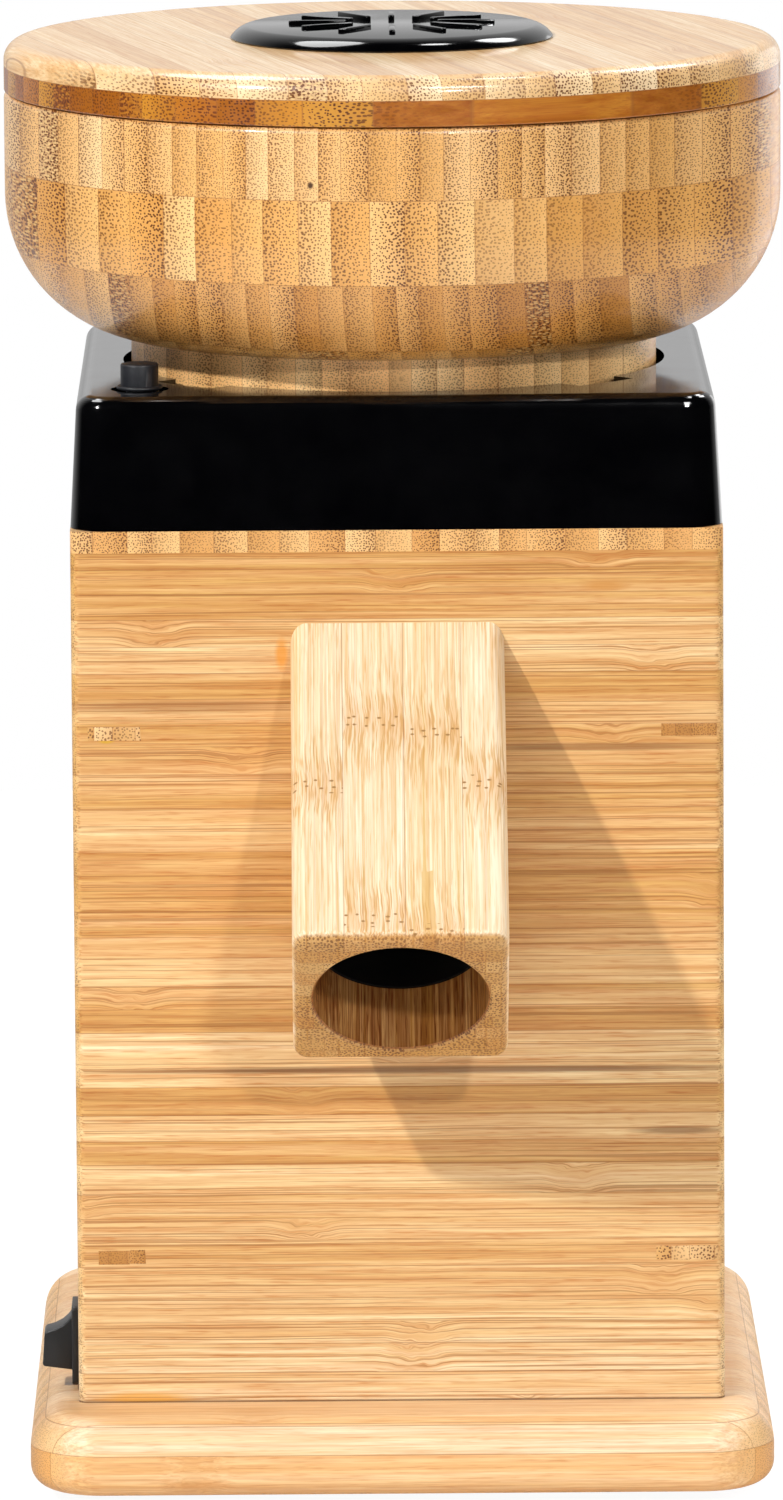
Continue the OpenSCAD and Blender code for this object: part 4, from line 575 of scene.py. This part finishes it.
def makeBamboo(name, own):
    # pressed and lacquered bamboo: fine streaks along the fibres, dark bundle ends across them
    values = {**culmValues, **own}
    material, tree = newMaterial(name)
    wood = layBoards(tree, values)
    cutStrips(tree, values, wood)
    growFibres(tree, values, wood)
    growBundles(tree, values, wood)
    colour = toneStrips(tree, values, wood)
    if "lines" in values:
        colour = stainSlats(tree, values, wood, colour)
    if "hair" in values:
        hair = drawnNoise(tree, wood["fibre"], values, "hair")
        hair = addNode(tree, "MapRange", {"Value": hair, **span(values["hairAt"])})
        hair = addNode(tree, "Math", {0: hair, 1: wood["longGrain"]}, operation="MULTIPLY")
        colour = stain(tree, colour, hair, values["hairStain"], values["hair"])
    colour = stainEndGrain(tree, values, wood, colour)
    colour = stain(tree, colour, wood["nodeZone"], *values["nodeStain"])
    colour = stain(tree, colour, 1.0, wood["tint"], blend="MULTIPLY")
    if "bore" in values:
        colour = shadeBore(tree, values, wood, colour)
    for middle, half, tone, depth in values["marks"]:
        # a small knot, a dark strip, or glue that has run out of a joint
        toMark = addNode(tree, "VectorMath", {0: patternPlace(tree), 1: middle}, operation="SUBTRACT")
        toMark = addNode(tree, "VectorMath", {0: toMark, 1: half}, operation="DIVIDE")
        toMark = addNode(tree, "VectorMath", {0: toMark}, out="Value", operation="LENGTH")
        mark = addNode(tree, "MapRange", {"Value": toMark, **span(values["markAt"])})
        colour = stain(tree, colour, mark, tone, depth)
    colour = stain(tree, colour, wood["glue"], *values["glueStain"])
    if "footLine" in values:
        foot = addNode(tree, "MapRange", {"Value": wood["across"], **span(values["footLine"])})
        colour = stain(tree, colour, foot, *values["footStain"])
    # fibres stand a little proud, bundle ends and glue lines lie low
    height = 0.0
    for layer, rise in values["heights"].items():
        height = addNode(tree, "Math", {0: wood[layer], 1: rise, 2: height}, operation="MULTIPLY_ADD")
    bump = addNode(tree, "Bump", {"Strength": values["bump"], "Distance": values["relief"] / 1000,
                                  "Height": height})
    smooth, dull = values["rough"]
    rough = addNode(tree, "MapRange", {"Value": wood["broad"], **span(values["roughAt"]), "To Min": smooth,
                                       "To Max": dull})
    skin = addNode(tree, "BsdfPrincipled", {"Base Color": colour, "Roughness": rough, "Normal": bump,
                                            "IOR": values["ior"], "Coat Weight": values["coat"],
                                            "Coat Roughness": values["coatRough"]})
    tree.links.new(skin, tree.nodes.new("ShaderNodeOutputMaterial").inputs["Surface"])
    return material


mottleValues = {
    # what the other finishes share: how wide patches and fine mottling mix, and how strongly the relief shows
    "patch": 0.05, "toneAt": (0.38, 0.62), "roughAt": (0.35, 0.65), "bump": 0.6, "squeeze": (1, 1, 1),
    # the dark gaps between sheets or wires, partly the joints' own colour and partly painted shade in the
    # grooves between wires, and the tones of single grains of grit
    "gapJointShade": ("#2a211b", 0.7), "gapAt": (0.25, 0.0), "gritAt": (0.1, 0.3, 0.75, 0.95), "gritDepth": 0.6,
}

finishValues = {
    # colours: the two tones it is mottled with; grain: size of the mottling; squeeze: how much finer the
    # mottling is along each axis; rough: from its smooth to its dull places; relief: depth of the texture
    # gloss ABS from a polished mould: near black, sharp reflections, faint orange peel
    "glossAbs": {"colours": ("#020203", "#050506"), "grain": 9.0, "rough": (0.07, 0.12), "relief": 0.004,
                 "ior": 1.5},
    # matt ABS with a fine spark-eroded mould texture
    "mattAbs": {"colours": ("#070708", "#0f0f11"), "grain": 0.45, "rough": (0.38, 0.5), "relief": 0.02,
                "ior": 1.53},
    # the same ABS inside the chute, where no polish is left and flour dust is brushed out
    "chuteAbs": {"colours": ("#030303", "#070707"), "grain": 0.6, "rough": (0.5, 0.65), "relief": 0.02,
                 "ior": 1.45},
    # glass-filled nylon, slate grey, moulded
    "slateNylon": {"colours": ("#121318", "#1b1d23"), "grain": 0.5, "rough": (0.42, 0.55), "relief": 0.02,
                   "ior": 1.53},
    # natural acetal, turned, slightly waxy white
    "whiteAcetal": {"colours": ("#e2dfd6", "#eeebe3"), "grain": 2.0, "rough": (0.3, 0.42), "relief": 0.006,
                    "ior": 1.48},
    # moulded rubber, dull black with a bloom
    "blackRubber": {"colours": ("#1a1a1a", "#2a2928"), "grain": 1.4, "rough": (0.7, 0.85), "relief": 0.03,
                    "ior": 1.52},
    # zinc-plated and ground steel, fine grinding marks
    "zincSteel": {"colours": ("#b4b8bd", "#cdd0d4"), "grain": 0.5, "squeeze": (1, 1, 0.1), "metal": 1.0,
                  "rough": (0.22, 0.36), "relief": 0.004},
    # stacked silicon-steel sheets, half a millimetre each, varnished
    "sheetStack": {"colours": ("#6d7074", "#8d9094"), "grain": 1.2, "squeeze": (1, 1, 5), "metal": 1.0,
                   "rough": (0.35, 0.5), "relief": 0.03, "sheets": 0.5},
    # die-cast aluminium, tumbled, soft grainy sheen
    "castAluminium": {"colours": ("#a3a6a9", "#bdbfc2"), "grain": 0.9, "metal": 1.0, "rough": (0.4, 0.55),
                      "relief": 0.03},
    # enamelled copper wire, 0.8 mm, wound round the axis and dipped in varnish
    "enamelCopper": {"colours": ("#9b4a1c", "#c4703a"), "grain": 1.6, "metal": 1.0, "rough": (0.28, 0.4),
                     "relief": 0.05, "wires": 0.8},
    # drawn aluminium can
    "drawnCan": {"colours": ("#c3c6c9", "#d7d9db"), "grain": 0.6, "squeeze": (1, 1, 0.08), "metal": 1.0,
                 "rough": (0.28, 0.38), "relief": 0.004},
    # pressed wool felt, grey with loose fibres
    "woolFelt": {"colours": ("#6b6860", "#8f8b81"), "grain": 0.7, "rough": (0.9, 1.0), "relief": 0.15,
                 "ior": 1.5},
    # corundum and ceramic millstone, gritty and dull, with dark and pale grains
    "corundumStone": {"colours": ("#a39b8e", "#cfc7b8"), "grain": 0.9, "rough": (0.8, 0.95), "relief": 0.12,
                      "ior": 1.6, "grit": 1.1, "gritTones": ("#6f675c", "#a39b8e", "#cfc7b8", "#ece6da")},
}


def makeFinish(name, own):
    values = {**mottleValues, **own}
    material, tree = newMaterial(name)
    point = patternPlace(tree)
    squeezed = addNode(tree, "VectorMath", {0: point, 1: values["squeeze"]}, operation="MULTIPLY")
    fine = addNode(tree, "TexNoise", {"Vector": squeezed, "Scale": 1 / values["grain"], "Detail": 3.0,
                                      "Roughness": 0.6})
    wide = addNode(tree, "TexNoise", {"Vector": point, "Scale": values["patch"], "Detail": 2.0})
    mixed = addNode(tree, "Math", {0: fine, 1: wide}, operation="ADD")
    mixed = addNode(tree, "Math", {0: mixed, 1: 0.5}, operation="MULTIPLY")
    colour = addNode(tree, "ValToRGB", {0: mixed}, ramp=[*zip(values["toneAt"], values["colours"])])
    height = fine
    if "sheets" in values or "wires" in values:
        # sheet edges stacked along z, or round wires side by side about the axis, with dark gaps: dark joints
        # between sheets, painted shade in the grooves between wires
        pitch = values.get("sheets", values.get("wires"))
        axes = addNode(tree, "SeparateXYZ", {0: point}).node.outputs
        flat = addNode(tree, "CombineXYZ", {0: axes[0], 1: axes[1]})
        radius = addNode(tree, "VectorMath", {0: flat}, out="Value", operation="LENGTH")
        crown = 1.0
        for line in [axes[2]] if "sheets" in values else [axes[2], radius]:
            wave = addNode(tree, "Math", {0: line, 1: pitch / 2}, operation="PINGPONG")
            wave = addNode(tree, "Math", {0: wave, 1: 2 / pitch}, operation="MULTIPLY")
            crown = addNode(tree, "Math", {0: crown, 1: wave}, operation="MINIMUM")
        height = addNode(tree, "Math", {0: fine, 1: 0.3, 2: crown}, operation="MULTIPLY_ADD")
        gap = addNode(tree, "MapRange", {"Value": crown, **span(values["gapAt"])})
        colour = stain(tree, colour, gap, *values["gapJointShade"])
    if "grit" in values:
        grains = addNode(tree, "TexVoronoi", {"Vector": point, "Scale": 1 / values["grit"]}, out="Color")
        pick = addNode(tree, "SeparateColor", {0: grains})
        shade = addNode(tree, "ValToRGB", {0: pick}, ramp=[*zip(values["gritAt"], values["gritTones"])])
        colour = stain(tree, colour, values["gritDepth"], shade)
    smooth, dull = values["rough"]
    rough = addNode(tree, "MapRange", {"Value": mixed, **span(values["roughAt"]), "To Min": smooth,
                                       "To Max": dull})
    bump = addNode(tree, "Bump", {"Strength": values["bump"], "Distance": values["relief"] / 1000,
                                  "Height": height})
    settings = {"Base Color": colour, "Roughness": rough, "Normal": bump}
    for key, socket in (("metal", "Metallic"), ("ior", "IOR")):
        if key in values:
            settings[socket] = values[key]
    skin = addNode(tree, "BsdfPrincipled", settings)
    tree.links.new(skin, tree.nodes.new("ShaderNodeOutputMaterial").inputs["Surface"])
    return material


finish = {name: makeBamboo(name, own) for name, own in bambooValues.items()}
finish.update({name: makeFinish(name, own) for name, own in finishValues.items()})
print("materials made:", len(finish))

partFinish = {      # parts with a finish of their own
    "front_panel": "frontBoards", "back_panel": "frontBoards", "left_panel": "sideBoards",
    "right_panel": "sideBoards", "corner_blocks": "sideBoards", "top_deck": "deckBoard",
    "base_board": "baseBoard", "spout": "spoutBlock", "hopper_bowl": "bowlCourses",
    "hopper_neck": "neckRingPaintedLight", "lid": "lidBoards", "flour_chute": "chuteAbs",
}
slotFinish = {      # every other part has the finish of its slot
    "gloss_black": "glossAbs", "black_plastic": "mattAbs", "slate_plastic": "slateNylon",
    "white_plastic": "whiteAcetal", "rubber": "blackRubber", "steel": "zincSteel",
    "lamination": "sheetStack", "aluminium": "castAluminium", "copper": "enamelCopper",
    "can": "drawnCan", "felt": "woolFelt", "millstone": "corundumStone",
}
slotOf = {name: part.data.materials[0].name.split(".")[0] for name, part in nodes.items()}
for name, part in nodes.items():
    chosen = partFinish[name] if name in partFinish else slotFinish[slotOf[name]]
    for place in part.material_slots:
        place.material = finish[chosen]
print("parts dressed")

pieces = []


def keepPiece(name, mesh, finishName, body, replaced=()):
    # the finished mesh as a piece that rides on its body
    bmesh.ops.remove_doubles(mesh, verts=mesh.verts, dist=1e-7)
    bmesh.ops.recalc_face_normals(mesh, faces=mesh.faces)
    data = bpy.data.meshes.new(name)
    mesh.to_mesh(data)
    mesh.free()
    data.shade_smooth()
    data.set_sharp_from_angle(angle=radians(40))
    data.materials.append(finish[finishName])
    piece = bpy.data.objects.new(name, data)
    scene.collection.objects.link(piece)
    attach(piece, body)
    if replaced:
        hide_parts(*replaced)
    pieces.append(piece)
    return piece


def copyPart(name):
    # a carried-over part with its doubles merged and its flat faces whole
    mesh = bmesh.new()
    mesh.from_mesh(nodes[name].data)
    bmesh.ops.remove_doubles(mesh, verts=mesh.verts, dist=1e-6)
    bmesh.ops.dissolve_limit(mesh, angle_limit=radians(1), verts=mesh.verts, edges=mesh.edges)
    return mesh


def addBlock(mesh, size, middle):
    # size and middle in metres
    block = bmesh.ops.create_cube(mesh, size=1.0)["verts"]
    bmesh.ops.scale(mesh, vec=size, verts=block)
    bmesh.ops.translate(mesh, vec=middle, verts=block)
    return block


def roundEdges(mesh, edges, radius, segments, clamp=False):
    # radius in millimetres
    bmesh.ops.bevel(mesh, geom=edges, offset=radius / 1000, offset_type="OFFSET", segments=segments,
                    profile=0.5, affect="EDGES", material=-1, clamp_overlap=clamp)


plugValues = {
    "panelFace": -82.5,      # the front panel's outer face
    "proud": 0.06,           # how far a plug stands out of it
    "depth": 2.0,            # and how deep it goes in
    "edge": 0.12,            # width of its broken edge
    # left, right, bottom and top, the skew of the right end and the grain
    "plugs": {
        "plugUpperLeft": (-79.9, -66.2, 197.6, 201.2, 0.25, "plugGrain"),
        "plugLowerLeft": (-78.5, -70.4, 60.0, 63.7, 0.0, "darkPlugGrain"),
        "plugLowerLeftTip": (-70.4, -66.2, 60.2, 63.9, 0.2, "darkPlugGrain"),
        "plugUpperRight": (67.8, 82.2, 197.9, 201.2, 0.0, "darkPlugGrain"),
        "plugLowerRight": (66.2, 82.4, 60.2, 64.0, 0.1, "plugGrain"),
    },
}


def addPlugs(values):
    # end-grain blocks let into the front panel and sanded flush
    for name, (left, right, low, high, skew, grain) in values["plugs"].items():
        mesh = bmesh.new()
        size = Vector((right - left, values["depth"] + values["proud"], high - low)) / 1000
        middle = Vector(((left + right) / 2, values["panelFace"] + (values["depth"] - values["proud"]) / 2,
                         (low + high) / 2)) / 1000
        for corner in addBlock(mesh, size, middle):
            if corner.co.x > middle.x and corner.co.z > middle.z:
                corner.co.x -= skew / 1000
        front = [e for e in mesh.edges if all(v.co.y < middle.y for v in e.verts)]
        roundEdges(mesh, front, values["edge"], 2)
        keepPiece(name, mesh, grain, "housing")


addPlugs(plugValues)

softEdges = {
    # moulded parts whose edges need the small radius of the mould: piece name, body and radius
    "release_button": ("releaseKey", "release_button", 0.5),
    "switch_body": ("switchHousing", "housing", 0.35),
    "switch_paddle": ("switchRocker", "switch_paddle", 0.4),
    "cable_gland": ("glandBody", "housing", 0.45),
    "gland_nut": ("glandLocknut", "housing", 0.4),
}


def addSoftEdges(values):
    for name, (label, body, radius) in values.items():
        mesh = copyPart(name)
        sharp = [e for e in mesh.edges if len(e.link_faces) == 2 and e.calc_face_angle_signed() > radians(35)]
        roundEdges(mesh, sharp, radius, 3, clamp=True)
        keepPiece(label, mesh, slotFinish[slotOf[name]], body, [name])


addSoftEdges(softEdges)

knobValues = {
    "foot": 370.8, "footRadius": 42.0,      # level of the lid under the knob, and the knob's radius there
    "top": 374.2, "flat": 37.8,             # level and radius of the flat top
    "slopes": (12, 56), "bend": 7.25,       # the shoulder's slope at its ends in degrees, and its radius
    "steps": 6, "turns": 128,               # faces down the shoulder and round the knob
    "ribs": 12, "ribFrom": 12.0, "ribTo": 27.0, "ribWidth": 1.6, "ribTop": 375.3,
    "ribSunk": 0.3, "ribEdge": 0.35,
}


def addKnob(values):
    # a low disc with a steep rounded shoulder and short raised grip bars
    mesh = bmesh.new()
    first, last = [radians(slope) for slope in values["slopes"]]
    outline = [(0.0, values["foot"]), (values["footRadius"], values["foot"])]
    for step in range(values["steps"], -1, -1):
        slope = first + (last - first) * step / values["steps"]
        outline.append((values["flat"] + values["bend"] * (sin(slope) - sin(first)),
                        values["top"] - values["bend"] * (cos(first) - cos(slope))))
    outline.append((0.0, values["top"]))
    corners = [mesh.verts.new((r / 1000, 0.0, z / 1000)) for r, z in outline]
    edges = [mesh.edges.new(pair) for pair in zip(corners, corners[1:])]
    bmesh.ops.spin(mesh, geom=corners + edges, cent=(0, 0, 0), axis=(0, 0, 1), angle=2 * pi,
                   steps=values["turns"], use_merge=True)
    bmesh.ops.remove_doubles(mesh, verts=mesh.verts, dist=1e-6)
    start, end, top = values["ribFrom"], values["ribTo"], values["ribTop"]
    size = Vector((end - start, values["ribWidth"], top - values["top"] + values["ribSunk"]))
    middle = Vector(((end + start) / 2, 0, top - size.z / 2)) / 1000
    for number in range(values["ribs"]):
        rib = addBlock(mesh, size / 1000, middle)
        turn = Matrix.Rotation(2 * pi * number / values["ribs"], 3, "Z")
        bmesh.ops.rotate(mesh, cent=(0, 0, 0), matrix=turn, verts=rib)
        upper = [e for e in mesh.edges if all(v in rib for v in e.verts)
                 and any(v.co.z > middle.z for v in e.verts)]
        roundEdges(mesh, upper, values["ribEdge"], 3)
    keepPiece("knobDisc", mesh, "glossAbs", "lid", ["knob_plate"])


addKnob(knobValues)

rimValues = {
    "height": 357.6, "near": 0.1,      # level of the rim, and how near an edge lies that belongs to it
    "outside": 101.6,                  # the outer rim lies further out than this
    "edge": 1.7,
}


def addBowl(values):
    # the turned bowl with its outer rim rounded over
    mesh = copyPart("hopper_bowl")
    rim = {v for v in mesh.verts if abs(v.co.z - values["height"] / 1000) < values["near"] / 1000
           and v.co.xy.length > values["outside"] / 1000}
    roundEdges(mesh, [e for e in mesh.edges if all(v in rim for v in e.verts)], values["edge"], 6)
    keepPiece("hopperBowl", mesh, "bowlCourses", "hopper", ["hopper_bowl"])


addBowl(rimValues)


def addLockCoil():
    # the lock's spring under the button, as a piece of its own
    mesh = bmesh.new()
    mesh.from_mesh(nodes["lock_spring"].data)
    coil = keepPiece("lockCoil", mesh, "zincSteel", "housing", ["lock_spring"])
    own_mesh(coil)


addLockCoil()
print("pieces made:", len(pieces))
